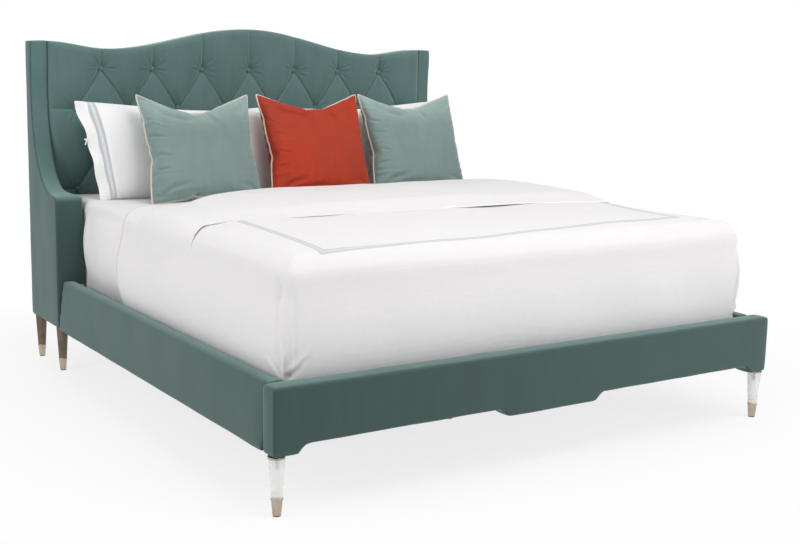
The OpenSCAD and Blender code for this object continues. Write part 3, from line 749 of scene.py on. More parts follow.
@dataclass(frozen=True)
class Ticking(Finish):
    """Striped mattress ticking.

    Args:
        colour: Its ground.
        stripe: Its stripes.
        pitch: From stripe to stripe.
    """

    colour: Colour = (0.8, 0.8, 0.79)
    stripe: Colour = (0.5, 0.55, 0.6)
    pitch: float = 0.03

    def inputs(self, graph: Graph, place: Socket) -> Inputs:
        """The stripes over the weave."""
        cloth = graph.effect(Effect.WEAVE, Vector=place, Threads=2200.0,
                             Colour=rgba(self.colour), Shade=rgba(self.colour, 0.95))
        across = graph.add("ShaderNodeSeparateXYZ", {0: place}).outputs[0]
        wave = graph.maths("SINE", graph.maths("MULTIPLY", across, 2 * pi / self.pitch))
        stripe = graph.spread(wave, 0.9, 0.97, 0.0, 0.5)
        return {"Base Color": graph.mix(stripe, cloth["Colour"], rgba(self.stripe)),
                "Roughness": 0.85, "Sheen Weight": 0.1,
                "Normal": graph.bump(cloth["Height"], 0.5, 0.001)}


@dataclass(frozen=True)
class Timber(Finish):
    """Bare planed timber or plywood, grain along one axis.

    Args:
        pale: The early wood.
        dark: The late wood.
        stretch: How the grain is drawn out along X, Y and Z.
    """

    pale: Colour = (0.62, 0.44, 0.26)
    dark: Colour = (0.42, 0.27, 0.14)
    stretch: Colour = (1.5, 24.0, 24.0)

    def inputs(self, graph: Graph, place: Socket) -> Inputs:
        """The grain."""
        wood = graph.effect(Effect.GRAIN, Vector=place, Pale=rgba(self.pale),
                            Dark=rgba(self.dark), Stretch=self.stretch)
        return {"Base Color": wood["Colour"],
                "Roughness": graph.spread(wood["Height"], 0.0, 1.0, 0.62, 0.5),
                "Normal": graph.bump(wood["Height"], 0.3, 0.0006)}


@dataclass(frozen=True)
class Metal(Finish):
    """Plated or painted metal with light handling.

    Args:
        colour: The clean metal.
        tarnish: Its cloudy patches.
        roughness: How matt it is.
        metallic: 1 for bare metal, less for a lacquered one.
    """

    colour: Colour
    tarnish: Colour
    roughness: float
    metallic: float = 1.0

    def inputs(self, graph: Graph, place: Socket) -> Inputs:
        """Tarnish and brushing."""
        worn = graph.effect(Effect.HANDLING, Vector=place, Colour=rgba(self.colour),
                            Tarnish=rgba(self.tarnish), Roughness=self.roughness)
        return {"Base Color": worn["Colour"], "Roughness": worn["Roughness"],
                "Metallic": self.metallic, "Normal": graph.bump(worn["Height"], 0.12, 0.0003)}


@dataclass(frozen=True)
class Acrylic(Finish):
    """Cast acrylic, milky inside and faintly dulled by handling.

    Args:
        clear: Its clearest tint.
        milky: Its milkiest tint.
    """

    clear: Colour = (1.0, 1.0, 0.995)
    milky: Colour = (0.96, 0.965, 0.96)

    def inputs(self, graph: Graph, place: Socket) -> Inputs:
        """Part transmission, with handling marks."""
        haze = graph.noise(place, 30.0, 3.0)
        return {"Base Color": graph.mix(graph.spread(haze, 0.3, 0.7, 0.0, 1.0), rgba(self.clear),
                                        rgba(self.milky)),
                "Roughness": graph.spread(haze, 0.35, 0.75, 0.12, 0.26),
                "Transmission Weight": 0.54, "IOR": 1.3,
                "Normal": graph.bump(haze, 0.05, 0.0005)}


@dataclass(frozen=True)
class Moulded(Finish):
    """Matt moulded plastic.

    Args:
        colour: The plastic's colour.
    """

    colour: Colour = (0.03, 0.03, 0.03)

    def inputs(self, graph: Graph, place: Socket) -> Inputs:
        """Fine texture and scuffs."""
        scuff = graph.spread(graph.noise(place, 60.0, 3.0), 0.5, 0.75, 0.0, 0.5)
        return {"Base Color": graph.mix(scuff, rgba(self.colour), rgba(self.colour, 2.2)),
                "Roughness": graph.spread(scuff, 0.0, 0.5, 0.5, 0.7),
                "Normal": graph.bump(graph.noise(place, 1200.0, 2.0), 0.2, 0.0003)}


# The last colour is painted light: the paler pile colour mixed in on tops, front faces, pleat edges
# and buttons.
VELVET = Velvet("velvet", (0.033, 0.066, 0.063), (0.62, 0.82, 0.78), 0.58,
                raised_and_painted_light=(0.100, 0.176, 0.168))
# Its last colour is painted light: the paler pile colour on the upper part of the sage pillows.
SAGE = Velvet("sage_velvet", (0.158, 0.222, 0.21), (0.85, 1.0, 0.97), 0.55, 0.55,
              (0.25, 0.34, 0.32))
ORANGE = Velvet("orange_velvet", (0.36, 0.034, 0.012), (1.0, 0.3, 0.2), 0.12)
COTTON = Cotton("white_cotton")
PIPING = Cotton("white_cotton", (0.64, 0.58, 0.49), 3000.0, 0.0006)
TRIMMED = Trimmed("white_cotton")
# Painted light: the shams' cotton is paler than the other white cotton, standing in for light on
# their faces.
BANDED = Trimmed("white_cotton", (0.90, 0.89, 0.89), thread=(0.52, 0.54, 0.56),
                 rows=(0.0105, 0.0042))
TICKING = Ticking("ticking")
POCKET = Cotton("pocket_cloth", (0.7, 0.71, 0.72), 1800.0)
TIMBER_X = Timber("timber")
TIMBER_Y = Timber("timber", stretch=(24.0, 1.5, 24.0))
TIMBER_Z = Timber("timber", stretch=(24.0, 24.0, 1.5))
PLYWOOD = Timber("plywood", (0.66, 0.5, 0.32), (0.52, 0.37, 0.22), (2.0, 30.0, 30.0))
STEEL = Metal("steel", (0.55, 0.56, 0.58), (0.42, 0.43, 0.45), 0.35)
CHAMPAGNE = Metal("champagne_metal", (0.50, 0.41, 0.32), (0.38, 0.31, 0.24), 0.28)
OLIVE = Metal("olive_brass", (0.4, 0.38, 0.24), (0.3, 0.28, 0.18), 0.35)
BRONZE = Metal("bronze_leg", (0.165, 0.132, 0.096), (0.105, 0.084, 0.062), 0.3, 0.85)
ACRYLIC = Acrylic("clear_acrylic")
NYLON = Moulded("nylon")


# ---- upholstered frame


class Plane(Enum):
    """The plane that an outline is drawn in."""

    XZ = (0, 2, 1)
    YZ = (1, 2, 0)


def cut_blank(name: str, outline: Path, plane: Plane, low: float, high: float) -> Item:
    """A block of foam and timber cut to an outline.

    Args:
        name: The piece's name.
        outline: The outline's corners in its plane.
        plane: The plane.
        low: Where the block starts across that plane.
        high: Where it ends.

    Returns:
        The block, closed and facing outwards.
    """
    first, second, across = plane.value
    deselect()
    bpy.ops.mesh.primitive_circle_add(vertices=len(outline), radius=1.0, fill_type="NGON")
    item = named(name)
    for vertex, (u, v) in zip(item.data.vertices, outline):
        vertex.co[first], vertex.co[second], vertex.co[across] = u, v, low
    move = [0.0, 0.0, 0.0]
    move[across] = high - low
    with editing(item):
        bpy.ops.mesh.select_all(action="SELECT")
        bpy.ops.mesh.extrude_region_move(TRANSFORM_OT_translate={"value": move})
    face_outwards(item)
    return item


def on_top(normals: Values) -> Values:
    """1 where a cover faces up, and 0 on its sides."""
    return step(normals[:, 2], 0.3, 0.5)


@dataclass
class Padding:
    """How a block is padded and covered.

    Args:
        cell: Size of the cover's mesh.
        turns: How often its edges are eased; more turns give rounder edges.
        crown: How far its faces stand out in their middle.
        slack: Depth of the cover's slight unevenness.
        seed: Chooses the unevenness.
        rim: How far from an edge its faces start to stand out.
        wave: Length of the unevenness.
    """

    cell: float
    turns: int
    crown: float
    slack: float
    seed: int
    rim: float = 0.03
    wave: float = 0.22

    def cover(self, item: Item, node: str, nap_and_painted_light: Callable[[Values, Values], Values]) -> None:
        """Pads a block, covers it in velvet and dresses it.

        Args:
            item: The block.
            node: The node it replaces.
            nap_and_painted_light: Told points and their normals, gives how much painted light the
                pile gets there.
        """
        modify(item, "REMESH", mode="VOXEL", voxel_size=self.cell, use_smooth_shade=True)
        modify(item, "SMOOTH", factor=0.5, iterations=self.turns)
        points, normals = points_of(item), normals_of(item)
        inward = np.minimum(points - points.min(0), points.max(0) - points)
        swell = (1 - (1 - np.abs(normals)) * np.exp(-inward / self.rim)).min(1)
        offset = self.crown * (swell - 0.5) + self.slack * ripples(points, self.wave, self.seed)
        set_points(item, points + normals * offset[:, None])
        smooth(item, 180)
        # Painted light: stores, for each point, how far the velvet's colour is painted paler.
        mark(item, "nap_and_painted_light", nap_and_painted_light(points_of(item), normals_of(item)))
        place_piece(item, "frame", VELVET, [node])


@dataclass(frozen=True)
class Dent:
    """A hollow that dies away with the distance from where it is deepest.

    Args:
        depth: Its depth.
        width: How far it spreads.
        at: The distance at which it is deepest.
    """

    depth: float
    width: float
    at: float = 0.0

    def over(self, away: Values) -> Values:
        """Its depth over a set of distances."""
        return self.depth * bell(away - self.at, self.width)


@dataclass
class Headboard:
    """The tufted headboard between its wings.

    Args:
        crown_z: Top of the middle arch.
        dip_z: Lowest point of the top line.
        dip_x: Where that is, on either side.
        ear_z: Top line beside the wings.
        arm_z: Top of the wings' arms.
        button_pitch: Between buttons of a row.
        row_pitch: Between rows.
        top_row_z: Height of the top row.
        rows: Number of rows.
        button_edge: Least distance of a button from the pad's side.
        button_r: Radius of a covered button.
        button_in: How far a button stands out of its dimple.
        cell: Size of the pad's mesh.
        bunching: How closely the mesh is drawn together towards its edges.
        side_gap: Between the pad and a wing.
        valley: The wide hollow along a pleat, its depth and its reach.
        crease: The pleat's own line.
        lip: The folded edge beside it.
        dimple: The hollow of a button.
        basin: The wide hollow round it.
        gathers: The rays of cloth round a button.
        turn_in: Round of the pad's edge.
        clear: How far the pad stands back from what the mattress is lifted past.
        relief: How much further the swells over the arms stand back.
    """

    crown_z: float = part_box("tufted_pad")[1].z
    dip_z: float = 1.390
    dip_x: float = 0.717
    ear_z: float = 1.418
    arm_z: float = 0.757
    button_pitch: float = 0.249
    row_pitch: float = 0.180
    top_row_z: float = 1.301
    rows: int = 4
    button_edge: float = 0.100
    button_r: float = 0.0125
    button_in: float = 0.008
    cell: float = 0.0048
    bunching: float = 1.32
    side_gap: float = 0.001
    valley: tuple[float, float] = (0.011, 0.036)
    crease: Dent = Dent(0.0052, 0.0050)
    lip: Dent = Dent(0.0030, 0.0045, 0.006)
    dimple: Dent = Dent(0.011, 0.020)
    basin: Dent = Dent(0.010, 0.060)
    gathers: Dent = Dent(0.0019, 0.020, 0.040)
    turn_in: float = 0.034
    clear: float = 0.002
    relief: float = 0.008

    def __post_init__(self) -> None:
        """Reads the frame's planes."""
        self.low, self.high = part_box("tufted_pad")
        self.half = self.high.x

    def top_line(self, x: Values) -> Values:
        """Height of the headboard's top line across the bed."""
        x = np.abs(x)
        arc = 1 + np.cos(pi * np.minimum(x / self.dip_x, 1))
        middle = self.dip_z + (self.crown_z - self.dip_z) * arc / 2
        past = np.clip((x - self.dip_x) / (self.half - self.dip_x), 0, 1)
        ears = self.dip_z + (self.ear_z - self.dip_z) * (1 - np.cos(pi * past)) / 2
        return np.where(x < self.dip_x, middle, ears)

    def row_places(self, row: int) -> list[float]:
        """Places across the bed of a row's buttons; every second row is shifted by half a pitch."""
        odd = row % 2
        n = math.floor((self.half - self.button_edge) / self.button_pitch + odd / 2)
        return [(k + odd / 2) * self.button_pitch for k in range(-n, n - odd + 1)]

    def buttons(self) -> Path:
        """Places of all buttons, across the bed and in height."""
        return [(x, self.top_row_z - row * self.row_pitch)
                for row in range(self.rows) for x in self.row_places(row)]

    def pleats(self) -> list[tuple[tuple[float, float], tuple[float, float]]]:
        """The pleats between neighbouring buttons, up to the top edge and out to the sides."""
        found, past = [], 0.05
        for row in range(self.rows):
            z = self.top_row_z - row * self.row_pitch
            places = self.row_places(row)
            if row == 0:
                found += [((x, z), (x * 0.985, self.crown_z + past)) for x in places]
            if row + 1 < self.rows:
                found += [((x, z), (b, z - self.row_pitch))
                          for x in places for b in self.row_places(row + 1)
                          if abs(x - b) < self.button_pitch * 0.6]
            else:
                found += [((x, z), (x, self.low.z - past)) for x in places]
            if row % 2:
                found += [((x, z), (copysign(self.half, x), z))
                          for x in (places[0], places[-1])]
        return found

    def pleated(self, x: Values, z: Values) -> tuple[Values, Values]:
        """Distance of places from the nearest pleat, and on which side of it they lie."""
        near, side = np.full(x.shape, np.inf), np.zeros(x.shape)
        for pleat in self.pleats():
            far, beside, _ = near_path(x, z, pleat)
            side = np.where(far < near, np.sign(beside), side)
            near = np.minimum(near, far)
        return near, side

    def surface(self, x: Values, z: Values, edge: Values) -> Values:
        """How far the tufted face stands back from the pad's front plane.

        Args:
            x: Places across the bed.
            z: Their heights.
            edge: Their distance from the pad's outline.

        Returns:
            The depth at each place, never proud of the plane that the mattress is lifted past.
        """
        near, side = self.pleated(x, z)
        button, star = np.full(x.shape, np.inf), np.zeros(x.shape)
        for k, (bx, bz) in enumerate(self.buttons()):
            far, turn = np.hypot(x - bx, z - bz), np.arctan2(z - bz, x - bx)
            rays = np.cos(11 * turn + 1.3 * k) + 0.7 * np.cos(17 * turn + 2.1 * k)
            star += rays * self.gathers.over(far) * (far > 1.12 * self.button_r)
            button = np.minimum(button, far)
        depth, reach = self.valley
        hollow = np.exp(-near / reach)
        depth = (depth * hollow + self.crease.over(near) - side * self.lip.over(near)
                 + self.dimple.over(button) + self.basin.over(button) + star)
        depth *= np.clip(edge / 0.02, 0.15, 1)
        depth += self.turn_in * (1 - arch(1 - edge / self.turn_in))
        return depth + self.clear + self.relief * step(z, self.arm_z, 0.08) * hollow

    def build_pad(self) -> Item:
        """The deep-buttoned velvet pad."""
        half, end = self.half - self.side_gap, sin(self.bunching)
        across = int(2 * self.half / self.cell) + 1
        up = int((self.crown_z - self.low.z) / self.cell) + 1
        s, t = np.meshgrid(*(np.sin(np.linspace(-1, 1, n) * self.bunching) / end
                             for n in (across, up)))
        x = s * half
        top = self.top_line(x)
        z = self.low.z + (t + 1) / 2 * (top - self.low.z)
        edge = np.minimum(np.minimum(half - np.abs(x), top - z), z - self.low.z)
        y = self.low.y + self.surface(x, z, np.maximum(edge, 0))
        rows, columns = x.shape
        front = np.stack([x, y, z], -1).reshape(-1, 3)
        loop = rim(rows, columns)
        back = front[loop]
        back[:, 1] = self.high.y
        behind = [rows * columns + k for k in range(len(loop))]
        faces = grid_faces(rows, columns)
        faces += zip(loop, loop[1:] + loop[:1], behind[1:] + behind[:1], behind)
        turn = columns + rows - 2
        foot, head = behind[:columns], behind[turn:turn + columns][::-1]
        faces += [(foot[k], foot[k + 1], head[k + 1], head[k]) for k in range(1, columns - 2)]
        faces.append((foot[0], foot[1], head[1], head[0], *behind[turn + columns:]))
        faces.append((foot[-2], foot[-1], *behind[columns:turn], head[-1], head[-2]))
        pad = soft_mesh("tufted_velvet_pad", np.vstack([front, back]), faces)
        face_outwards(pad)
        points = points_of(pad)
        near, _ = self.pleated(points[:, 0], points[:, 2])
        # Painted light: the whole pad is painted paler, and paler still in thin glints beside its
        # pleats.
        mark(pad, "nap_and_painted_light", 0.72 + 0.28 * bell(near - 0.0075, 0.0035))
        return pad

    def build_buttons(self) -> Item:
        """Velvet-covered buttons, modelled once and set into their dimples."""
        deselect()
        bpy.ops.mesh.primitive_uv_sphere_add(segments=20, ring_count=10, radius=self.button_r)
        model = bpy.context.object
        x, y, z = points_of(model).T
        set_points(model, np.stack([x, -np.where(z > 0, z * 0.62, z * 0.3), y], 1))
        smooth(model, 180)
        made = []
        for x, z in self.buttons():
            copy = add_object("covered_button", model.data.copy())
            back = self.surface(np.array([x]), np.array([z]), np.array([0.2]))[0] - self.button_in
            set_points(copy, points_of(copy) + np.array([x, self.low.y + back, z]))
            # Painted light: the buttons are painted paler than most of the pad.
            mark(copy, "nap_and_painted_light", np.full(len(copy.data.vertices), 0.85))
            made.append(copy)
        bpy.data.objects.remove(model)
        return join(made, "covered_buttons")

    def build(self) -> None:
        """Builds and dresses the headboard's soft pieces."""
        pad = self.build_pad()
        place_piece(pad, "frame", VELVET, ["tufted_pad"])
        place_piece(self.build_buttons(), "frame", VELVET, ["tuft_buttons"])


@dataclass
class Wing:
    """A padded wing with its arm.

    Args:
        side: -1 on the left, 1 on the right.
        word: The side's name.
        width: Width behind the arm's tapered front.
        taper: Share of the sweep over which the arm narrows.
        top_depth: From the back to the wing's front at its top.
        arm_z: Top of the arm.
        arm_flat: Flat top of the arm before the sweep.
        sweep_h: Height of the sweep over the arm.
        sweep_reach: How far its low curve reaches.
        sweep_rise: How far the sweep starts over the arm.
        bend: From the wing's front to the sweep's two upper handles, and to the bend over it.
        top_swell: How far the padding stands over its top.
        nap_and_painted_light: How much painted light its pile gets on its edges, the faces that
            don't face sideways, and on its top.
        padding: Its padding and cover.
    """

    side: int
    word: str
    width: float = 0.076
    taper: float = 1 / 6
    top_depth: float = 0.086
    arm_z: float = 0.757
    arm_flat: float = 0.046
    sweep_h: float = 0.353
    sweep_reach: float = 0.185
    sweep_rise: float = 0.008
    bend: tuple[float, float, float] = (-0.017, 0.005, 0.011)
    top_swell: float = 0.008
    nap_and_painted_light: tuple[float, float] = (0.72, 0.25)
    padding: Padding = field(default_factory=lambda: Padding(0.0065, 10, 0.003, 0.0006, 3))

    def __post_init__(self) -> None:
        """Reads the wing's box."""
        self.node = f"{self.word}_wing_cover"
        self.low, self.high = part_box(self.node)
        self.front_y = self.high.y - self.top_depth

    def sweep(self, t: Values) -> Values:
        """Points of the curve from the arm's top up the wing's front.

        Args:
            t: Where on the curve, from 0 to 1.

        Returns:
            Places along the bed and in height, one row each.
        """
        low_y, y = self.low.y, self.front_y
        handles = np.array([[low_y + self.arm_flat, self.arm_z + self.sweep_rise],
                            [low_y + self.sweep_reach, self.arm_z + 2 * self.sweep_rise],
                            [y + self.bend[0], self.arm_z + 0.42 * self.sweep_h],
                            [y + self.bend[1], self.arm_z + self.sweep_h]])
        t = np.asarray(t, float)[:, None]
        return ((1 - t) ** 3 * handles[0] + 3 * (1 - t) ** 2 * t * handles[1]
                + 3 * (1 - t) * t ** 2 * handles[2] + t ** 3 * handles[3])

    def outline(self) -> Path:
        """The wing's outline from the side: its corners along the bed and in height."""
        low, high = self.low, self.high
        top_z, bend_z = high.z + self.top_swell, high.z - 0.3 * (high.z - self.arm_z)
        return [(high.y, top_z), (high.y, low.z), (low.y, low.z), (low.y, self.arm_z),
                *[tuple(p) for p in self.sweep(np.linspace(0, 1, 25))],
                (self.front_y + self.bend[2], bend_z), (self.front_y, top_z)]

    def build(self) -> None:
        """Cuts, tapers, pads and dresses the wing."""
        low, high = self.low, self.high
        inner, outer = (low.x, high.x)[::self.side]
        item = cut_blank(f"{self.word}_velvet_wing", self.outline(), Plane.YZ, low.x, high.x)
        end = float(self.sweep(np.array([self.taper]))[0, 0])
        with editing(item):
            bpy.ops.mesh.select_all(action="SELECT")
            bpy.ops.mesh.bisect(plane_co=(0.0, end, 0.0), plane_no=(0.0, 1.0, 0.0))
        points = points_of(item)
        narrow = abs(outer - inner) - self.width
        inside = np.abs(points[:, 0] - inner) < 1e-5
        share = np.clip((points[inside, 1] - low.y) / (end - low.y), 0, 1)
        points[inside, 0] += self.side * narrow * share
        set_points(item, points)
        self.padding.cover(item, self.node, self.raised_and_painted_light)

    def raised_and_painted_light(self, points: Values, normals: Values) -> Values:
        """How much painted light the pile gets: on the wing's edges and top, but not on the faces
        under the arm, which keep the darker colour as painted shade.
        """
        edges, top = self.nap_and_painted_light
        edge_on = 1 - step(np.abs(normals[:, 0]), 0.35, 0.4)
        # Painted shade: the faces under the arm get no painted light.
        below = ease((self.arm_z - 0.004 - points[:, 2]) / 0.02) * step(-normals[:, 1], 0.5, 0.3)
        return edges * edge_on * (1 - below) + top * step(normals[:, 2], 0.5, 0.4)


@dataclass
class Footboard:
    """The padded footboard with its dropped corners and middle.

    Args:
        cut_z: Underside between the drops.
        corner_w: Width of a corner drop.
        centre_half: Half width of the centre drop.
        curve: Width of the curves beside the drops.
        nap_and_painted_light: How much painted light the pile gets on its top.
        padding: Its padding and cover.
    """

    cut_z: float = 0.214
    corner_w: float = 0.090
    centre_half: float = 0.184
    curve: float = 0.045
    nap_and_painted_light: float = 0.16
    padding: Padding = field(default_factory=lambda: Padding(0.0065, 9, 0.003, 0.0006, 5))

    def outline(self, low: Vector, high: Vector) -> Path:
        """The footboard's outline from the front."""
        rise = self.cut_z - low.z
        turns = np.linspace(0, 1, 13)
        right = [(self.centre_half + self.curve * t, low.z + rise * (1 - cos(pi * t)) / 2)
                 for t in turns]
        start = high.x - self.corner_w - self.curve
        right += [(start + self.curve * sin(t * pi / 2),
                   low.z + rise * cos(t * pi / 2)) for t in turns]
        left = [(-x, z) for x, z in reversed(right)]
        return [*left, *right, (high.x, low.z), (high.x, high.z), (low.x, high.z), (low.x, low.z)]

    def build(self) -> None:
        """Cuts, pads and dresses the footboard."""
        low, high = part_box("foot_cover")
        item = cut_blank("velvet_footboard", self.outline(low, high), Plane.XZ, low.y, high.y)
        # Painted light: its top is painted paler.
        self.padding.cover(item, "foot_cover", lambda _, normals: self.nap_and_painted_light * on_top(normals))


@dataclass
class SideRail:
    """A padded side rail whose outer face leans in towards its round top.

    Args:
        side: -1 on the left, 1 on the right.
        word: The side's name.
        seam: How far its cover stands off the footboard's.
        lean: How far the outer face leans in.
        shoulder: Radius of its round outer top edge.
        nap_and_painted_light: How much painted light the pile gets on its top.
        padding: Its padding and cover.
    """

    side: int
    word: str
    seam: float = 0.005
    lean: float = 0.024
    shoulder: float = 0.010
    nap_and_painted_light: float = 0.55
    padding: Padding = field(default_factory=lambda: Padding(0.0065, 5, 0.003, 0.0007, 7))

    def outline(self, low: Vector, high: Vector) -> Path:
        """The rail's cross-section."""
        inner, outer = (low.x, high.x)[::self.side]
        x, r = outer - self.side * (self.lean + self.shoulder), self.shoulder
        top = [(x + self.side * r * cos(a), high.z - r + r * sin(a))
               for a in np.radians(np.linspace(8, 90, 9))]
        return [(inner, low.z), (outer, low.z), *top, (inner, high.z)]

    def build(self) -> None:
        """Cuts, pads and dresses the rail."""
        node = f"{self.word}_rail_cover"
        low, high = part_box(node)
        item = cut_blank(f"{self.word}_velvet_rail", self.outline(low, high), Plane.XZ,
                         low.y + self.seam, high.y)
        # Painted light: its top is painted paler.
        self.padding.cover(item, node, lambda _, normals: self.nap_and_painted_light * on_top(normals))


@dataclass
class Legs:
    """Tapered legs, their collars and ferrules.

    Args:
        sides: Facets round a leg.
        mid_d: Diameter at the ferrule.
        low_d: Diameter at the floor.
        ferrule_z: Top of the ferrule.
        glide_t: Thickness of the felt under it.
        lip: How far the ferrule's top lip stands out.
        lip_h: Height of that lip.
        wall: How much wider a ferrule is than its leg.
        overlap: How far a leg reaches into its ferrule.
    """

    sides: int = 48
    mid_d: float = 0.035
    low_d: float = 0.026
    ferrule_z: float = 0.055
    glide_t: float = 0.003
    lip: float = 0.0012
    lip_h: float = 0.005
    wall: float = 0.0006
    overlap: float = 0.004

    def turned(self, name: str, low: Vector, high: Vector, top_d: float, low_d: float,
               round_over: float) -> Item:
        """A turned, tapered length with eased ends.

        Args:
            name: The piece's name.
            low: Lowest corner of its box.
            high: Highest corner.
            top_d: Diameter at the top.
            low_d: Diameter at the bottom.
            round_over: Width of its eased ends.

        Returns:
            The piece.
        """
        middle, height = (low + high) / 2, high.z - low.z
        deselect()
        bpy.ops.mesh.primitive_cone_add(vertices=self.sides, radius1=low_d / 2, radius2=top_d / 2,
                                        depth=height, location=middle)
        item = named(name)
        settle(item)
        with editing(item, "EDGE") as mesh:
            choose(item, mesh, "edges", lambda place, way: abs(way.z) < 0.5
                   and abs(abs(place.z - middle.z) - height / 2) < 1e-5)
            bpy.ops.mesh.bevel(offset=round_over, segments=3, affect="EDGES")
        smooth(item, 40)
        return item

    def ferrule(self, name: str, x: float, y: float) -> Item:
        """A ferrule cap with a small lip round its top."""
        item = self.turned(name, Vector((x, y, self.glide_t)), Vector((x, y, self.ferrule_z)),
                           self.mid_d + self.wall, self.low_d, self.lip)
        lip_z = self.ferrule_z - self.lip_h
        with editing(item):
            bpy.ops.mesh.select_all(action="SELECT")
            bpy.ops.mesh.bisect(plane_co=(x, y, lip_z), plane_no=(0, 0, 1))
            mesh = bmesh.from_edit_mesh(item.data)
            choose(item, mesh, "faces", lambda place, normal: abs(normal.z) < 0.5
                   and lip_z < place.z < self.ferrule_z - self.lip)
            bpy.ops.mesh.extrude_region_shrink_fatten(
                TRANSFORM_OT_shrink_fatten={"value": self.lip})
        smooth(item, 35)
        return item

    def build(self) -> None:
        """Builds all six legs with their ferrules, and the two collars."""
        ferrules = []
        for place, finish in (("foot", ACRYLIC), ("rear", BRONZE), ("arm", BRONZE)):
            for _, word in SIDES:
                node = f"{word}_{place}_leg"
                low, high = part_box(node)
                width = high.x - low.x
                foot = Vector((low.x, low.y, self.ferrule_z - self.overlap))
                leg = self.turned(f"{word}_{place}_turned_leg", foot, high, width,
                                  self.mid_d - self.lip, self.lip)
                place_piece(leg, "frame", finish, [node])
                ferrules.append((self.ferrule(f"{word}_{place}_ferrule", (low.x + high.x) / 2,
                                              (low.y + high.y) / 2),
                                 "foot_ferrules" if place == "foot" else "head_ferrules"))
        for ferrule, node in ferrules:
            place_piece(ferrule, "frame", CHAMPAGNE, [node])
        low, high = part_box("leg_collars")
        inset, width = self.collar_inset(), high.y - low.y
        for side, word in SIDES:
            x, y = (low.x + inset, high.x - inset)[side > 0], (low.y + high.y) / 2
            collar = self.turned(f"{word}_brass_collar", Vector((x, y, low.z)),
                                 Vector((x, y, high.z)), width, width - 0.001, 0.0015)
            place_piece(collar, "frame", OLIVE, ["leg_collars"])

    @staticmethod
    def collar_inset() -> float:
        """From the side of the collars' box to a foot leg's middle."""
        low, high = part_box("left_foot_leg")
        return (high.x - low.x) / 2


@dataclass
class HiddenFrame:
    """The timber, steel and plastic under the covers, which keep their shapes.

    Args:
        finishes: The finish of each kept node.
        slats: Number of slats.
        centre_legs: Number of centre legs.
    """

    finishes: dict[str, Finish] = field(default_factory=lambda: {
        "headboard_panel": PLYWOOD, "headboard_back": VELVET, "headboard_stiles": TIMBER_Z,
        "headboard_top_rail": TIMBER_X, "headboard_bottom_rail": TIMBER_X,
        "left_wing_core": TIMBER_Z, "right_wing_core": TIMBER_Z, "wing_bolts": STEEL,
        "foot_core": TIMBER_X, "left_rail_core": TIMBER_Y, "right_rail_core": TIMBER_Y,
        "left_ledger": TIMBER_Y, "right_ledger": TIMBER_Y, "ledger_screws": STEEL,
        "rail_brackets": STEEL, "bracket_bolts": STEEL, "leg_bolts": STEEL, "leg_glides": NYLON,
        "slat_screws": STEEL, "centre_legs": TIMBER_Z, "box_spring_frames": TIMBER_X,
        "mattress_springs": POCKET})
    slats: int = 5
    centre_legs: int = 4

    def build(self) -> None:
        """Gives every kept node its finish."""
        finishes = dict(self.finishes)
        finishes.update({f"slat_{k + 1}": TIMBER_X for k in range(self.slats)})
        finishes.update({f"centre_glide_{k + 1}": NYLON for k in range(self.centre_legs)})
        for node, finish in finishes.items():
            item = frame["nodes"][node]
            item.data.materials.clear()
            item.data.materials.append(finish.material())
            LOG.info("kept %s as %s", node, finish.slot)


# ---- mattress and bedding


@dataclass
class Upholstery:
    """Mattress and box springs in ticking, with taped edges.

    Args:
        tape_r: Radius of the tape edge.
        tape_in: How deep the tape sits in the corner.
        corner_r: Corner radius of the mattress, and of a box spring, before it is widened.
        plan: How much wider the upright corners are.
        turns: Points of the tape round a corner.
    """

    tape_r: float = 0.006
    tape_in: float = 0.002
    corner_r: tuple[float, float] = (0.04, 0.02)
    plan: float = 1.6
    turns: int = 7

    def rounded_box(self, name: str, low: Vector, high: Vector, radius: float) -> Item:
        """A block with rounded upright corners and softened edges."""
        deselect()
        bpy.ops.mesh.primitive_cube_add(size=1.0, location=(low + high) / 2, scale=high - low)
        item = named(name)
        settle(item)
        for upright, share, segments in ((True, self.plan, 6), (False, 0.3, 3)):
            with editing(item, "EDGE") as mesh:
                choose(item, mesh, "edges", lambda place, way: abs(way.z) > 0.9 if upright
                       else abs(way.z) < 0.1)
                bpy.ops.mesh.bevel(offset=radius * share, segments=segments, affect="EDGES")
        smooth(item, 60)
        return item

    def taped(self, name: str, low: Vector, high: Vector, radius: float, z: float) -> Item:
        """A tape edge round a block at a height."""
        r, in_r, path = radius * self.plan, radius * self.plan - self.tape_in, []
        for (sx, sy), start in (((1, 1), 0), ((-1, 1), 90), ((-1, -1), 180), ((1, -1), 270)):
            x = (high.x - r) if sx > 0 else (low.x + r)
            y = (high.y - r) if sy > 0 else (low.y + r)
            for k in range(self.turns):
                a = radians(start + 90 * k / (self.turns - 1))
                path.append((x + in_r * cos(a), y + in_r * sin(a), z))
        return tube(name, path, self.tape_r, True)

    def build(self) -> None:
        """Builds the mattress and both box springs."""
        mattress_r, spring_r = self.corner_r
        for node, body, radius in (("mattress", "bedding", mattress_r),
                                   ("left_box_spring", "box_springs", spring_r),
                                   ("right_box_spring", "box_springs", spring_r)):
            low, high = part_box(node)
            block = self.rounded_box(f"{node}_ticking", low, high, radius)
            place_piece(block, body, TICKING, [node])
            for word, z in (("low", low.z + self.tape_r), ("high", high.z - self.tape_r)):
                tape = self.taped(f"{node}_{word}_tape", low, high, radius, z)
                place_piece(tape, body, COTTON)


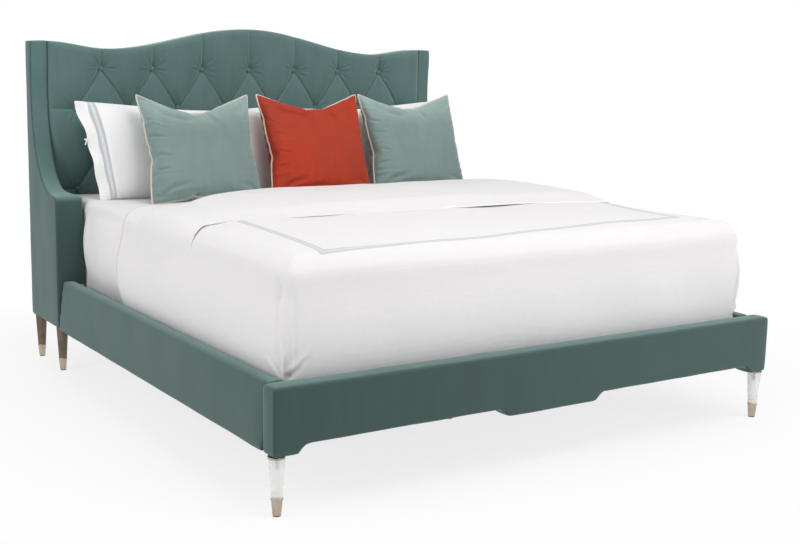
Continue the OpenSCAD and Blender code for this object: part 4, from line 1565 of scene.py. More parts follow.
@dataclass
class Drape:
    """Cloth laid over a box: a top, and a skirt down both sides and the foot end.

    Args:
        half: Half width over the sides.
        foot_y: Plane of the foot end.
        head_y: Where the cloth ends towards the headboard.
        top_z: Height of the top.
        low_z: Height of the hem.
        plan_r: Round of the upright corners.
        edge_r: Round of the top's edges.
        cell: Size of the mesh.
        pull: How closely the mesh is drawn together towards the border, 1 for most.
    """

    half: float
    foot_y: float
    head_y: float
    top_z: float
    low_z: float
    plan_r: float
    edge_r: float
    cell: float
    pull: float = 0.86

    def inward(self, x: Values, y: Values) -> Values:
        """Distance of places in plan from the border of the sides and foot."""
        qx = np.abs(x) - (self.half - self.plan_r)
        qy = (self.foot_y + self.plan_r) - y
        outside = np.hypot(np.maximum(qx, 0), np.maximum(qy, 0))
        return self.plan_r - outside - np.minimum(np.maximum(qx, qy), 0)

    def fall(self, inward: Values) -> Values:
        """How far the top has fallen at a distance from the border."""
        return self.edge_r * (1 - arch(1 - inward / self.edge_r))

    def plan(self) -> tuple[Values, Values]:
        """Places of the top's points in plan, drawn together near the border."""
        length = self.head_y - self.foot_y
        across, along = (np.sin(np.linspace(start, 1, round(size / self.cell) * cells + 1)
                                * pi / 2 * self.pull) / sin(pi / 2 * self.pull)
                         for start, size, cells in ((-1, self.half, 2), (0, length, 1)))
        x, y = np.meshgrid(self.half * across, self.head_y - length * along)
        cx = np.clip(x, -self.half + self.plan_r, self.half - self.plan_r)
        cy = np.maximum(y, self.foot_y + self.plan_r)
        dx, dy = x - cx, y - cy
        share = np.maximum(np.abs(dx), np.abs(dy)) / np.maximum(np.hypot(dx, dy), 1e-9)
        return cx + dx * share, cy + dy * share

    def sheet(self, name: str, top: Callable[[Values, Values, Values], Values],
              skirt: Callable[[Values, Values, Values, Values], Values]) -> Item:
        """Lays the cloth.

        Args:
            name: The piece's name.
            top: Told x, y and the distance from the border, gives the top's extra height.
            skirt: Told the place along the border, x, y and the share of the drop, gives how
                far the skirt stands out.

        Returns:
            The open sheet.
        """
        x, y = self.plan()
        rows, columns = x.shape
        inward = self.inward(x, y)
        z = self.top_z - self.fall(inward) + top(x, y, inward)
        points = [np.stack([x, y, z], -1).reshape(-1, 3)]
        number = np.arange(rows * columns).reshape(rows, columns)
        last = np.concatenate([number[:, 0], number[-1, 1:], number[-2::-1, -1]])
        edge = points[0][last]
        lengths = np.linalg.norm(np.diff(edge[:, :2], axis=0), axis=1)
        along = np.concatenate([[0], np.cumsum(lengths)])
        way = np.gradient(edge[:, :2], axis=0)
        out = np.stack([way[:, 1], -way[:, 0]], 1)
        out /= np.linalg.norm(out, axis=1)[:, None]
        out *= -1.0 if out[0, 0] > 0 else 1.0
        rings = max(6, round((self.top_z - self.edge_r - self.low_z) / self.cell))
        faces = grid_faces(rows, columns)
        for k in range(1, rings + 1):
            share = np.full(len(edge), k / rings)
            ring = edge.copy()
            ring[:, :2] += out * skirt(along, *edge[:, :2].T, share)[:, None]
            ring[:, 2] += (self.low_z - edge[:, 2]) * share
            points.append(ring)
            this = rows * columns + (k - 1) * len(edge) + np.arange(len(edge))
            faces += zip(last[:-1], last[1:], this[1:], this[:-1])
            last = this
        return soft_mesh(name, np.vstack(points), [tuple(reversed(f)) for f in faces])


@dataclass
class BedSheet:
    """The fitted sheet over the mattress, pulled smooth and tucked behind the rails.

    Args:
        half: Its half width over the mattress.
        low_z: Height of its hem.
        head_gap: From its head end to its box.
        proud: How far its top stands over its box.
        fold_y: Under the duvet's fold it lies flat from here towards the headboard.
        bare: Along the bed, from where its side is bare and bulges, and from where it doesn't.
        bulge: How far its sides stand out beside the fold, under it, and where they are bare.
        thickness: Its thickness.
    """

    half: float = 0.936
    low_z: float = 0.352
    head_gap: float = 0.004
    proud: float = 0.002
    fold_y: float = 0.785
    bare: tuple[float, float] = (0.20, 0.45)
    bulge: tuple[float, float, float] = (0.022, 0.006, 0.030)
    thickness: float = 0.0012

    def top(self, x: Values, y: Values, inward: Values) -> Values:
        """Extra height of its top: slow waves, and a rise at the border."""
        return 0.0016 * waves(x, y, 0.35, 31) + 0.004 * np.exp(-inward / 0.1)

    def skirt(self, along: Values, x: Values, y: Values, share: Values) -> Values:
        """How far its side stands out at a share of the drop."""
        loose, tucked, bulging = self.bulge
        free = ease((self.fold_y - y) / 0.03)
        start, end = self.bare
        bare = free * step(y, start, 0.12) * (1 - 0.8 * step(y, end, 0.25))
        belly, low_belly = (np.sin(pi * np.clip(share / reach, 0, 1) ** power)
                            for reach, power in ((1.0, 0.8), (0.96, 0.75)))
        swell = (loose * free - tucked * (1 - free)) * belly + bulging * bare * low_belly
        return swell + 0.0022 * waves(along, share * 0.35, 0.28, 32) * share

    def build(self) -> None:
        """Lays and dresses the sheet."""
        low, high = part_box("tucked_sheet")
        laid = Drape(self.half, low.y, high.y - self.head_gap, high.z + self.proud, self.low_z,
                     plan_r=0.05, edge_r=0.045, cell=0.014)
        item = laid.sheet("tucked_bed_sheet", self.top, self.skirt)
        modify(item, "SOLIDIFY", thickness=self.thickness, offset=-1.0)
        place_piece(item, "bedding", COTTON, ["tucked_sheet"])


@dataclass
class Duvet:
    """The duvet: smooth over the top, tucked behind the rails, with mitred foot corners.

    Args:
        head_y: Its end under the fold.
        foot_gap: How far it stands out from its box at the foot.
        wadding: Its thickness.
        belly: How far its sides stand out, and its foot end.
        room: How far its tucked part may stand out at the sides, and at the foot end.
        tuck_z: How far over the rails the tuck begins.
        corner_in: From the left and the right corner to the mitre, along the border.
        mitre: The mitre's line, from the corner's line and in height.
        mitre_lip: The mitre's raised edge on the left and on the right.
        knot_z: Height from which the corner's wrinkles run out.
        wrinkles: Where they end, from there.
        pocket: The corner's pocket: its place from the corner's line, height, half width, half
            height and depth.
    """

    head_y: float = 0.24
    foot_gap: float = 0.006
    wadding: float = 0.012
    belly: tuple[float, float] = (0.024, 0.012)
    room: tuple[float, float] = (0.004, 0.010)
    tuck_z: float = 0.03
    corner_in: tuple[float, float] = (0.02, 0.04)
    mitre: tuple[tuple[float, float], ...] = ((0.028, 0.66), (0.010, 0.52), (0.004, 0.40))
    mitre_lip: tuple[float, float] = (0.006, -0.003)
    knot_z: float = 0.39
    wrinkles: tuple[tuple[float, float], ...] = ((0.05, 0.045), (0.085, 0.075), (0.03, 0.10),
                                                 (-0.05, 0.05), (-0.09, 0.08), (-0.035, 0.11))
    pocket: tuple[float, float, float, float, float] = (0.030, 0.66, 0.016, 0.034, 0.020)

    def __post_init__(self) -> None:
        """Reads the frame's boxes, and places the corner's creases along the border."""
        low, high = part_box("duvet")
        self.rail_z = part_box("left_rail_cover")[1].z
        self.laid = Drape(high.x, low.y - self.foot_gap, self.head_y, high.z, low.z,
                          plan_r=0.034, edge_r=0.080, cell=0.0105)
        long_side = self.head_y - self.laid.foot_y
        left_in, right_in = self.corner_in
        self.corners = ((-1, long_side - left_in), (1, long_side + 2 * self.laid.half - right_in))
        self.creases = [Crease(tuple((s + side * away, z) for away, z in self.mitre),
                               0.009, 0.011, lip, 0.15)
                        for (side, s), lip in zip(self.corners, self.mitre_lip)]
        z = self.knot_z
        self.creases += [Crease(((s, z), (s + away, z + up)), 0.0075, 0.0065 - 0.0005 * k, 0.003,
                                0.2)
                         for side, s in self.corners
                         for k, (away, up) in enumerate(self.wrinkles) if side < 0 or away > 0]

    def top(self, x: Values, y: Values, inward: Values) -> Values:
        """Extra height of its top: lower at the foot, wavy, and pulled down near its border."""
        slope = -0.008 * np.exp(-(y - self.laid.foot_y) / 0.22)
        pulled = 0.006 * np.exp(-inward / 0.12) * ease(inward / 0.02)
        return slope + 0.0035 * waves(x, y, 0.55, 41) - pulled

    def skirt(self, along: Values, x: Values, y: Values, share: Values) -> Values:
        """How far its side stands out at a share of the drop."""
        laid = self.laid
        start_z = laid.top_z - laid.edge_r
        z = start_z + (laid.low_z - start_z) * share
        side = np.abs(x) > laid.half - 0.02
        belly = np.sin(pi * np.clip(share * 1.2, 0, 1))
        swell = np.where(side, *self.belly) * np.where(share < 0.4, belly ** 1.7, belly)
        swell += 0.0045 * waves(along, 0.6 * z, 0.33, 42) * np.sin(pi * np.clip(share, 0, 1))
        for crease in self.creases:
            swell += crease.height(along, z)
        away, pocket_z, wide, high, deep = self.pocket
        for way, s in self.corners:
            swell -= deep * bell(along - (s + way * away), wide) * bell(z - pocket_z, high)
        tuck = ease((self.rail_z + self.tuck_z - z) / 0.07)
        return swell * (1 - tuck) + np.minimum(swell, np.where(side, *self.room)) * tuck

    @staticmethod
    def trim(x: Values, y: Values) -> Values:
        """Distance of places from the stitched border, which runs askew round the top.

        Args:
            x: Places across the bed.
            y: Places along the bed.

        Returns:
            The distance, above zero inside the border.
        """
        front = y - (-1.032 + 0.072 * (x + 0.827))
        left = x - (-0.827 + 0.104 * (y + 1.03))
        right = (0.814 + 0.16 * (y + 0.908)) - x
        return np.minimum(np.minimum(front, left), right)

    def build(self) -> None:
        """Lays, thickens and dresses the duvet."""
        item = self.laid.sheet("white_duvet", self.top, self.skirt)
        x, y, z = points_of(item).T
        below = -1.0
        mark(item, "trim", np.where(z > self.laid.top_z - self.laid.edge_r, self.trim(x, y), below))
        modify(item, "SOLIDIFY", thickness=self.wadding, offset=-1.0)
        smooth(item, 180)
        place_piece(item, "bedding", TRIMMED, ["duvet"])


@dataclass
class Fold:
    """The folded-back layer: a thick soft fold across the bed, hanging over both sides.

    Args:
        cells: Cells of its mesh across the bed and along it.
        edge_r: Round of the bed's long edges under it.
        hem_gap: Height of its hem over the rails.
        head_y: Its edge towards the headboard.
        front_r: Round of its front edge.
        tail_r: Round of its edge towards the headboard.
        tail_drop: How much further than its thickness that edge turns down.
        front_slope: How far behind its front edge it is full.
        puff: Its fullness at its ends, and how much more it has in its middle.
        side_share: Its thickness on the sides.
        hem_share: Its thickness at its hem.
        rough: Height of its wide and of its narrow waves.
        over: How far it may stand over its box.
        lining: How far the inner cloth lies under the outer one, and off the duvet.
    """

    cells: tuple[int, int] = (250, 78)
    edge_r: float = 0.07
    hem_gap: float = 0.006
    head_y: float = 0.455
    front_r: float = 0.022
    tail_r: float = 0.040
    tail_drop: float = 0.034
    front_slope: float = 0.16
    puff: tuple[float, float] = (0.85, 0.25)
    side_share: float = 0.85
    hem_share: float = 0.25
    rough: tuple[float, float] = (0.0022, 0.0008)
    over: float = 0.006
    lining: tuple[float, float] = (0.0015, 0.0005)

    def __post_init__(self) -> None:
        """Reads the frame's boxes."""
        self.low, self.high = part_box("duvet_fold")
        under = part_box("duvet")[1]
        self.under_z, self.half = under.z, under.x
        self.thick = self.high.z - self.under_z
        self.flat_half = self.half - self.edge_r
        self.arc = self.edge_r * pi / 2
        hem_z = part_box("left_rail_cover")[1].z + self.hem_gap
        self.drop = self.under_z - self.edge_r - hem_z

    def edges(self, p: Values, hang: Values) -> tuple[Values, Values]:
        """Its front and head edges along the bed.

        Args:
            p: Places across the cloth, from its middle.
            hang: The share of the drop at each place.

        Returns:
            The front edge and the head edge at each place.
        """
        far, left = np.abs(p), p < 0
        left_front = (-0.085 * step(far, 0.75, 0.25) + 0.21 * ease(hang * 1.6)
                      - 0.09 * ease(hang * 1.5 - 0.6))
        left_head = 0.36 * step(far, 0.22, 0.80) - 0.16 * hang
        right_head = 0.03 * ease(far / 0.4) - 0.05 * step(far, 0.3, 0.5)
        front = self.low.y + np.where(left, left_front, -0.10 * step(far, 0.5, 0.4))
        return front, self.head_y - np.where(left, left_head, right_head)

    def height(self, p: Values, y: Values, front: Values, head: Values, hang: Values) -> Values:
        """How far its outer face stands off the duvet.

        Args:
            p: Places across the cloth, from its middle.
            y: Places along the bed.
            front: Distances from its front edge.
            head: Distances from its head edge.
            hang: The share of the drop.

        Returns:
            The height at each place.
        """
        lip = 0.10 + 0.10 * step(p, -0.1, 0.3) + 0.04 * bell(p + 1.06, 0.08)
        rise = lip * arch(1 - front / self.front_r) + (1 - lip) * ease(front / self.front_slope)
        melt = 1 - 0.88 * step(-p, 0.1, 0.6) * np.exp(-front / 0.24)
        melt *= 1 - 0.85 * step(-p, 0.58, 0.25) * np.exp(-head / 0.20)
        ends, middle = self.puff
        share = np.clip((y - self.low.y) / (self.high.y - self.low.y), 0, 1)
        puff = ends + middle * np.sin(pi * share)
        puff *= np.where(np.abs(p) > self.flat_half + self.arc * 0.5, self.side_share, 1.0)
        wide, narrow = self.rough
        offset = self.thick * rise * puff * melt
        offset += (wide * waves(p, y, 0.5, 51) + narrow * waves(p, 0.5 * y, 0.2, 52)) * rise
        offset *= self.hem_share + (1 - self.hem_share) * ease((1 - hang) / 0.16)
        roll = (self.thick + self.tail_drop) * (1 - arch(1 - head / self.tail_r))
        return np.minimum(offset, self.thick + self.over) - roll * (1 - hang * 0.6)

    def build(self) -> None:
        """Lays and dresses the fold."""
        total = self.flat_half + self.arc + self.drop
        across, along = self.cells
        q = 0.12 + 0.76 * np.linspace(0, 1, along + 1)
        q = 0.5 - 0.5 * np.cos(pi * q)
        q = (q - q.min()) / (q.max() - q.min())
        p, q = np.meshgrid(np.linspace(-total, total, across + 1), q, indexing="ij")
        far, sign = np.abs(p), np.sign(p)
        angle = np.clip((far - self.flat_half) / self.edge_r, 0, pi / 2)
        down = np.maximum(far - self.flat_half - self.arc, 0)
        x = sign * (np.minimum(far, self.flat_half) + self.edge_r * np.sin(angle))
        z = self.under_z - self.edge_r * (1 - np.cos(angle)) - down
        hang = np.clip(down / self.drop, 0, 1)
        front, head = self.edges(p, hang)
        y = front + (head - front) * q
        outer = self.height(p, y, y - front, head - y, hang)
        below, off = self.lining
        cloths = [np.stack([x + sign * np.sin(angle) * offset, y, z + np.cos(angle) * offset],
                           -1).reshape(-1, 3)
                  for offset in (outer, np.minimum(outer - below, off))]
        rows, columns = p.shape
        faces = grid_faces(rows, columns)
        faces += [tuple(reversed(f)) for f in grid_faces(rows, columns, rows * columns)]
        faces += rim_faces(rows, columns, rows * columns)
        item = soft_mesh("folded_duvet", np.vstack(cloths), faces)
        face_outwards(item)
        place_piece(item, "bedding", COTTON, ["duvet_fold"])


# ---- pillows


@dataclass
class Stuffing:
    """Args:
        cells: Number of cells across a cover's longer side.
        pressure: Pressure of the filling.
        frames: Steps of the simulation.
        stiffness: How little the cloth stretches.
        gap: Between the two flat panels.
        dome: Half thickness of the cover before it is filled.
        enough: Share of the full thickness at which the filling stops, on one side.
    """

    cells: int = 46
    pressure: float = 2.0
    frames: int = 20
    stiffness: float = 40.0
    gap: float = 0.004
    dome: float = 0.02
    enough: float = 0.44

    def blank(self, name: str, width: float, height: float) -> tuple[Item, int, tuple[int, int]]:
        """Two cloth panels sewn together at their edges, flat.

        Args:
            name: The cover's name.
            width: Its width along X.
            height: Its height along Z.

        Returns:
            The cover, the number of points of one panel, and its rows and columns.
        """
        longer = max(width, height)
        nx, nz = (max(12, round(self.cells * side / longer)) for side in (width, height))
        deselect()
        bpy.ops.mesh.primitive_grid_add(x_subdivisions=nx, y_subdivisions=nz, size=1.0)
        item = named(name)
        x, y, _ = points_of(item).T
        set_points(item, np.stack([x * width, np.full_like(x, self.gap / 2), y * height], 1))
        modify(item, "SOLIDIFY", thickness=self.gap, offset=0.0, use_even_offset=False)
        return item, len(x), (nz + 1, nx + 1)

    def fill(self, item: Item, count: int, width: float, height: float,
             depth: float) -> None:
        """Fills a cover.

        Args:
            item: The flat cover.
            count: Number of points of one panel.
            width: Its width.
            height: Its height.
            depth: Its thickness when full.
        """
        points = points_of(item)
        u, v = points[:, 0] / (width / 2), points[:, 2] / (height / 2)
        side = np.where(np.arange(len(points)) < count, 1.0, -1.0)
        side *= 1.0 if points[0, 1] > points[count, 1] else -1.0
        flat = item.data.attributes.new("flat", "FLOAT_VECTOR", "POINT")
        flat.data.foreach_set("vector", np.stack([u, side, v], 1).astype(np.float32).ravel())
        dome = np.clip((1 - u ** 2) * (1 - v ** 2), 0, 1) ** 0.42
        points[:, 1] = side * (self.dome * dome + 0.001)
        set_points(item, points)
        self.inflate(item, depth)
        points = points_of(item)
        points[:, 1] *= (depth / 2) / np.abs(points[:, 1]).max()
        set_points(item, points)

    def inflate(self, item: Item, depth: float) -> None:
        """Blows a cover up as cloth until it is nearly full.

        Args:
            item: The cover.
            depth: Its thickness when full.
        """
        pick(item)
        cloth = item.modifiers.new("Cloth", "CLOTH")
        settings = cloth.settings
        settings.quality = 6
        settings.mass = 0.25
        settings.tension_stiffness = settings.compression_stiffness = self.stiffness
        settings.shear_stiffness = self.stiffness * 0.5
        settings.bending_stiffness = 0.5
        settings.use_pressure = True
        settings.uniform_pressure_force = self.pressure
        settings.effector_weights.gravity = 0.0
        cloth.point_cache.frame_start = 1
        cloth.point_cache.frame_end = self.frames
        scene = bpy.context.scene
        for frame_number in range(1, self.frames + 1):
            scene.frame_set(frame_number)
            full = item.evaluated_get(bpy.context.evaluated_depsgraph_get())
            if max(v.co.y for v in full.data.vertices) > self.enough * depth:
                break
        LOG.info("filled %s in %d steps", item.name, frame_number)
        bpy.ops.object.modifier_apply(modifier=cloth.name)
        scene.frame_set(1)


@dataclass
class Pillow:
    """A stuffed pillow standing on the bed.

    Args:
        node: The node it stands for.
        body: The body it moves with.
        finish: Its cover.
        width: Width between its seams.
        height: Height between its seams.
        depth: Thickness in the middle.
        lean: How far it leans back, in degrees.
        chop: Where its top is pressed in, as a share of the half width, and how deep.
        ears: How far its top corners flare outwards and up.
        gather: Height of the gathers at its seams.
        creases: Folds in its front, in metres from its middle.
        cuff: Where a flat cuff begins, as a share of the half width, or 0 for none.
        drawn_in: How far its foot is drawn in at one side; below zero on the left.
        sag: How far its top sags at that side, and towards the other.
        piping: Radius of its piping, or 0.
        levels: How often its mesh is refined.
        seed: Chooses its small unevenness.
        title: Its piece name, where it differs from the node's.
        box: The space it fills, where that isn't the node's.
    """

    node: str
    body: str
    finish: Finish
    width: float
    height: float
    depth: float
    lean: float
    chop: tuple[float, float] = (0.0, 0.0)
    ears: tuple[float, float] = (0.0, 0.0)
    gather: float = 0.0
    creases: tuple[Crease, ...] = ()
    cuff: float = 0.0
    drawn_in: float = 0.0
    sag: tuple[float, float] = (0.004, 0.030)
    piping: float = 0.0
    levels: int = 1
    seed: int = 1
    title: str = ""
    box: tuple[Vector, Vector] | None = None

    @staticmethod
    def puckers(along: Values, away: Values, reach: float, seed: int) -> Values:
        """Small gathers that run inwards from a seam.

        Args:
            along: Places along the seam.
            away: Distances from it.
            reach: How far the gathers run.
            seed: Chooses their pattern.

        Returns:
            Their height at each place.
        """
        chance = np.random.default_rng(seed)
        wave, count = np.zeros_like(along), 6
        for _ in range(count):
            pitch, turn = chance.uniform(0.017, 0.055), chance.uniform(0, 2 * pi)
            wave += np.sin(2 * pi * along / pitch + turn)
        length = reach * (0.75 + 0.5 * np.sin(2 * pi * along / 0.083 + seed))
        return wave / math.sqrt(count) * np.exp(-away / length) * ease(away / 0.012)

    def shape(self, points: Values, flat: Values) -> Values:
        """Gives the filled cover its posture.

        Args:
            points: Its points.
            flat: The same points in the flat cover, as shares of its half size, and their panel.

        Returns:
            The points with a pressed top, flared corners, gathered seams, creases and a cuff.
        """
        x, y, z = points.T.copy()
        u, _, v = flat.T
        full, front = np.abs(y).max(), np.sign(y)
        y = front * full * (np.abs(y) / full) ** 0.8
        y = self.gathered(x, y, z, u, v)
        x, y, z = self.pressed(x, y, z, u, v)
        if self.cuff:
            side = copysign(1.0, self.cuff)
            past = (u * side - abs(self.cuff)) * self.width / 2
            loose = ease(past / 0.02)
            y *= (1 - 0.82 * loose) * (1 - 0.35 * bell(past, 0.012))
            y += 0.006 * loose * np.sin(9 * v + 1) * ease(past / 0.05)
            x += side * 0.0025 * loose * np.sin(11 * v)
        if self.drawn_in:
            out = u * copysign(1.0, self.drawn_in)
            outer, inner = step(out, 0.3, 0.7), ease((0.85 - out) / 1.25)
            x -= self.drawn_in * outer * (1 - v) / 2
            z -= self.sag[0] * outer * ease(v) + self.sag[1] * inner * step(v, -0.4, 1.4)
        y *= 1 + 0.04 * ripples(points, 0.22, self.seed)
        return np.stack([x, y, z], 1)

    def gathered(self, x: Values, y: Values, z: Values, u: Values, v: Values) -> Values:
        """The depths of points with gathers at the seams, and creases in the front."""
        du, dv = (1 - np.abs(u)) * self.width / 2, (1 - np.abs(v)) * self.height / 2
        front = np.sign(y)
        if self.gather:
            wave = (self.puckers(z, du, 0.040, self.seed) * np.where(u < 0, 1.0, 0.45)
                    + self.puckers(x, dv, 0.018, self.seed + 9) * 0.45)
            y = y + front * self.gather * wave * ease(du / 0.02 + 0.2) * ease(dv / 0.02 + 0.2)
        for crease in self.creases:
            y = y - crease.height(u * self.width / 2, v * self.height / 2) * (front < 0)
        return y

    def pressed(self, x: Values, y: Values, z: Values, u: Values,
                v: Values) -> tuple[Values, Values, Values]:
        """The coordinates of points with the top pressed in and its corners flared."""
        at, deep = self.chop
        off = np.abs(u - at) / np.where(u < at, 1 + at, 1 - at)
        press = np.clip(1 - off ** np.where(u < at, 1.7, 1.1), 0, 1) * step(v, -0.3, 1.3)
        upper = step(v, 0.2, 0.8) * step(np.abs(u), 0.4, 0.6)
        out, up = self.ears
        return (x + np.sign(x) * out * upper, y * (1 - 0.30 * press * (deep > 0)),
                z - deep * press + up * upper)

    def build(self, stuffing: Stuffing) -> None:
        """Sews, fills, leans and dresses the pillow.

        Args:
            stuffing: How covers are filled.
        """
        name = self.title or f"{self.node}_cover"
        item, count, panel = stuffing.blank(name, self.width, self.height)
        stuffing.fill(item, count, self.width, self.height, self.depth)
        modify(item, "SUBSURF", levels=self.levels, render_levels=self.levels)
        flat = np.empty(len(item.data.vertices) * 3, np.float32)
        item.data.attributes["flat"].data.foreach_get("vector", flat)
        flat = flat.reshape(-1, 3).astype(float)
        set_points(item, self.stand(self.shape(points_of(item), flat)))
        seam = self.seam(item, count, rim(*panel))
        item.data.attributes.remove(item.data.attributes["flat"])
        if self.cuff:
            mark(item, "trim", (flat[:, 0] - self.cuff) * self.width / 2)
        # Painted light: a piped pillow's upper part is marked to be painted paler, where its velvet
        # has a paler colour for it.
        if self.piping:
            mark(item, "nap_and_painted_light", step(flat[:, 2], 0.3, 0.65))
        smooth(item, 180)
        face_outwards(item)
        place_piece(item, self.body, self.finish, [self.node])
        if self.piping:
            place_piece(tube(f"{name}_piping", seam, self.piping, True), self.body, PIPING)
        if self.cuff:
            self.build_ties(name, seam)

    def stand(self, points: Values) -> Values:
        """Leans the pillow back and stands it in its box.

        Args:
            points: Its points, upright.

        Returns:
            The points in their place.
        """
        low, high = self.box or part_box(self.node)
        turn = radians(self.lean)
        x, y, z = points.T
        z = z - z.min()
        y, z = y * cos(turn) + z * sin(turn), z * cos(turn) - y * sin(turn)
        return np.stack([x + (low.x + high.x) / 2,
                         y + (low.y + high.y) / 2 - (y.min() + y.max()) / 2,
                         z + low.z + 0.001 - z.min()], 1)

    @staticmethod
    def seam(item: Item, count: int, ring: list[int]) -> Values:
        """The seam's path between the two panels, a little outside them.

        Args:
            item: The cover.
            count: Number of points of one panel.
            ring: Numbers of a panel's points round its seam.

        Returns:
            The path's points.
        """
        points = points_of(item)
        path = (points[ring] + points[[k + count for k in ring]]) / 2
        away = path - path.mean(0)
        return path + away / np.linalg.norm(away, axis=1)[:, None] * 0.001

    def build_ties(self, name: str, seam: Values) -> None:
        """The knotted tapes that close the cuff at its outer edge.

        Args:
            name: The pillow's piece name.
            seam: The path of its seam.
        """
        side = copysign(1.0, self.cuff)
        low_z, high_z = seam[:, 2].min(), seam[:, 2].max()
        outer = seam[seam[:, 0] * side > (seam[:, 0] * side).max() - 0.12]
        knot = outer[np.argmin(np.abs(outer[:, 2] - low_z - 0.60 * (high_z - low_z)))]
        parts = []
        for reach, drop in ((0.013, -0.002), (0.009, 0.022)):
            path = [knot + np.array([side * reach * t, -0.004 * sin(pi * t),
                                     -drop * t * t]) for t in (0.0, 0.35, 0.7, 1.0)]
            parts.append(tube(f"{name}_tie", path, 0.0028, False))
        deselect()
        bpy.ops.mesh.primitive_uv_sphere_add(segments=12, ring_count=8, radius=0.0062,
                                             location=knot + np.array([side * 0.003, -0.002, 0.0]))
        parts.append(bpy.context.object)
        settle(parts[-1])
        place_piece(join(parts, f"{name}_ties"), self.body, COTTON)


@dataclass
class Pillows:
    """All pillows on the bed.

    Args:
        stuffing: How their covers are filled.
        edge: Half width of a throw pillow's cover, for the ends of its folds.
        gap: Between the two sleeping pillows.
    """

    stuffing: Stuffing = field(default_factory=Stuffing)
    edge: float = 0.262
    gap: float = 0.02

    def folds(self, apex: float) -> tuple[Crease, ...]:
        """Folds of a throw pillow that was pressed in at its top.

        Args:
            apex: Where it was pressed in, from its middle.

        Returns:
            The folds.
        """
        left, right = -self.edge, self.edge
        paths = ((((apex, 0.232), (apex + 0.020, 0.175), (apex + 0.055, 0.125)), 0.009, 0.010),
                 (((apex, 0.236), (apex - 0.012, 0.190), (apex + 0.012, 0.150)), 0.007, 0.006),
                 (((left, 0.238), (-0.170, 0.172), (-0.060, 0.158), (apex, 0.215)), 0.014, 0.009),
                 (((right, 0.238), (0.200, 0.180), (0.130, 0.165)), 0.014, 0.007),
                 (((left, -0.240), (-0.170, -0.180), (-0.070, -0.165)), 0.011, 0.009),
                 (((left, -0.242), (-0.120, -0.205), (0.020, -0.200)), 0.010, 0.006),
                 (((right, -0.240), (0.190, -0.185), (0.120, -0.180)), 0.011, 0.007),
                 (((left, 0.120), (-0.175, 0.098)), 0.007, 0.006),
                 (((left, 0.052), (-0.160, 0.046)), 0.007, 0.006),
                 (((left, -0.030), (-0.150, -0.052)), 0.007, 0.005),
                 (((left, -0.110), (-0.165, -0.100)), 0.007, 0.006))
        return tuple(Crease(path, width, depth, 0.3 * depth, 0.45) for path, width, depth in paths)

    def build(self) -> None:
        """Builds the throw pillows, the shams and the sleeping pillows."""
        width = 0.535
        throws = (("left_throw_pillow", SAGE, (0.10, 0.064), (0.002, 0.000), 61),
                  ("centre_throw_pillow", ORANGE, (0.24, 0.050), (0.002, 0.002), 62),
                  ("right_throw_pillow", SAGE, (0.12, 0.050), (0.002, 0.002), 63))
        for node, finish, chop, ears, seed in throws:
            Pillow(node, node, finish, width, 0.495, 0.135, 20.0, chop, ears, gather=0.0055,
                   creases=self.folds(chop[0] * width / 2), piping=0.0048, levels=2,
                   seed=seed).build(self.stuffing)
        for side, word in SIDES:
            Pillow(f"{word}_sham", "bedding", BANDED, 0.945, 0.435, 0.11, 7.0, ears=(0.016, 0.008),
                   cuff=side * 0.845, drawn_in=side * 0.078, levels=2,
                   seed=70).build(self.stuffing)
        low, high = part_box("sleeping_pillows")
        inner = (low.x + high.x) / 2
        for side, word in SIDES:
            ends = sorted((inner + side * self.gap / 2, high.x if side > 0 else low.x))
            box = (Vector((ends[0], low.y, low.z)), Vector((ends[1], high.y, high.z)))
            Pillow("sleeping_pillows", "bedding", COTTON, 0.865, 0.388, 0.130, 3.0,
                   drawn_in=side * 0.10, seed=80, title=f"{word}_sleeping_pillow",
                   box=box).build(self.stuffing)


# ---- studio


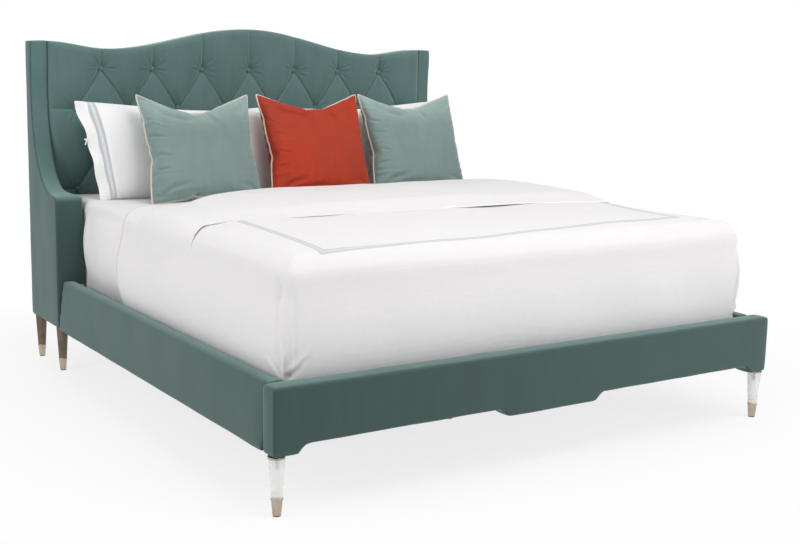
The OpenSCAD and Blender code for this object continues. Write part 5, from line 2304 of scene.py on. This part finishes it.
@dataclass
class Studio:
    """Floor, lamps, world and camera.

    Args:
        eye: Where the camera stands.
        yaw: Its turn from +Y towards +X, in degrees.
        pitch: How far it looks down, in degrees.
        roll: Its roll, in degrees.
        lens: Its focal length in millimetres.
        sensor: Width of its sensor in millimetres.
        shift: Its shift across and up.
        floor_tone: How pale the floor is.
        world: Strength of the even light.
        shadow_r: How far from the bed's middle the floor starts and ends to turn pure white.
        shadow_white: Share of white near the bed.
        lamps: Name, place, aim, side and watts of each softbox.
    """

    eye: tuple[float, float, float] = (-2.6102, -4.0670, 1.2957)
    yaw: float = 31.706
    pitch: float = 8.707
    roll: float = 0.731
    lens: float = 52.90
    sensor: float = 36.0
    shift: tuple[float, float] = (0.0648, -0.0241)
    floor_tone: float = 0.9
    world: float = 0.5
    shadow_r: tuple[float, float] = (1.3, 2.6)
    shadow_white: float = 0.78
    lamps: tuple[tuple[str, Place, Place, float, float], ...] = (
        ("overhead_softbox", (0.3, -1.5, 4.5), (0.0, 0.2, 0.7), 3.4, 38.0),
        ("left_softbox", (-5.0, -0.4, 2.8), (-0.6, 0.2, 0.6), 2.6, 78.0),
        ("right_softbox", (3.6, -4.8, 2.6), (0.5, -0.5, 0.6), 2.4, 78.0),
        ("front_softbox", (-0.1, -2.4, 3.9), (0.0, 1.1, 1.2), 1.6, 42.0))

    def build_camera(self) -> None:
        """Sets the camera at its place."""
        data = bpy.data.cameras.new("camera")
        data.sensor_width = self.sensor
        data.lens = self.lens
        data.shift_x, data.shift_y = self.shift
        data.clip_end = 100.0
        camera = add_object("camera", data)
        yaw, pitch, roll = (radians(a) for a in (self.yaw, self.pitch, self.roll))
        ahead = Vector((sin(yaw) * cos(pitch), cos(yaw) * cos(pitch),
                        -sin(pitch)))
        level = Vector((cos(yaw), -sin(yaw), 0.0))
        up = level.cross(ahead)
        right = level * cos(roll) + up * sin(roll)
        upright = up * cos(roll) - level * sin(roll)
        camera.location = self.eye
        camera.rotation_mode = "QUATERNION"
        camera.rotation_quaternion = Matrix(list(zip(right, upright, -ahead))).to_quaternion()
        bpy.context.scene.camera = camera

    @staticmethod
    def white(graph: Graph, kind: str, seen: object, light: Node,
              white: Node) -> Socket:
        """A surface that is pure white where it is seen, and lights the bed where it isn't."""
        mixed = graph.add("ShaderNodeMixShader",
                          {0: seen, 1: light.outputs[0], 2: white.outputs[0]})
        return graph.add(kind, {"Surface": mixed.outputs[0]})

    def build_floor(self) -> None:
        """A wide pale floor that keeps the bed's soft shadow."""
        deselect()
        bpy.ops.mesh.primitive_plane_add(size=60.0)
        floor = named("studio_floor")
        made = bpy.data.materials.new("studio_floor")
        made.use_nodes = True
        made.node_tree.nodes.clear()
        graph = Graph(made.node_tree)
        matt = graph.add("ShaderNodeBsdfDiffuse", {"Color": rgba((self.floor_tone,) * 3)})
        white = graph.add("ShaderNodeEmission", {"Color": rgba((1, 1, 1)), "Strength": 1.0})
        place = graph.add("ShaderNodeTexCoord").outputs["Object"]
        away = graph.add("ShaderNodeVectorMath", {0: place, 1: (0.0, 0.0, 0.0)},
                         operation="DISTANCE").outputs["Value"]
        share = graph.maths("MULTIPLY", self.seen(graph),
                            graph.spread(away, *self.shadow_r, self.shadow_white, 1.0))
        self.white(graph, "ShaderNodeOutputMaterial", share, matt, white)
        floor.data.materials.append(made)

    @staticmethod
    def seen(graph: Graph) -> Socket:
        """One where the camera, a reflection or a clear piece looks, and nought elsewhere."""
        path = graph.add("ShaderNodeLightPath").outputs
        both = graph.maths("MAXIMUM", path["Is Camera Ray"], path["Is Glossy Ray"])
        return graph.maths("MAXIMUM", both, path["Is Transmission Ray"])

    def build_world(self) -> None:
        """A white backdrop and an even, plain light."""
        world = bpy.data.worlds.new("studio")
        bpy.context.scene.world = world
        world.use_nodes = True
        world.node_tree.nodes.clear()
        graph = Graph(world.node_tree)
        light, white = (graph.add("ShaderNodeBackground", {"Color": rgba((1, 1, 1)),
                                                           "Strength": strength})
                        for strength in (self.world, 1.0))
        self.white(graph, "ShaderNodeOutputWorld", self.seen(graph), light, white)

    @staticmethod
    def build_lamp(name: str, place: Place, aim: Place, size: float, power: float) -> None:
        """A square softbox.

        Args:
            name: The lamp's name.
            place: Where it hangs.
            aim: What it points at.
            size: Its side.
            power: Its power in watts.
        """
        data = bpy.data.lights.new(name, "AREA")
        data.shape = "SQUARE"
        data.size = size
        data.energy = power
        lamp = add_object(name, data)
        lamp.location = place
        lamp.rotation_mode = "QUATERNION"
        lamp.rotation_quaternion = (Vector(aim) - Vector(place)).to_track_quat("-Z", "Y")

    def build(self) -> None:
        """Builds the whole studio."""
        self.build_camera()
        self.build_floor()
        self.build_world()
        for lamp in self.lamps:
            self.build_lamp(*lamp)
        bpy.context.scene.view_settings.view_transform = "Standard"


def main() -> None:
    """Builds the bed in order, from its frame to its pillows, and then the studio."""
    logging.basicConfig(level=logging.INFO, format="%(name)s: %(message)s")
    HiddenFrame().build()
    Headboard().build()
    for side, word in SIDES:
        Wing(side, word).build()
        SideRail(side, word).build()
    for kind in (Footboard, Legs, Upholstery, BedSheet, Duvet, Fold, Pillows, Studio):
        kind().build()


if __name__ == "__main__":
    main()
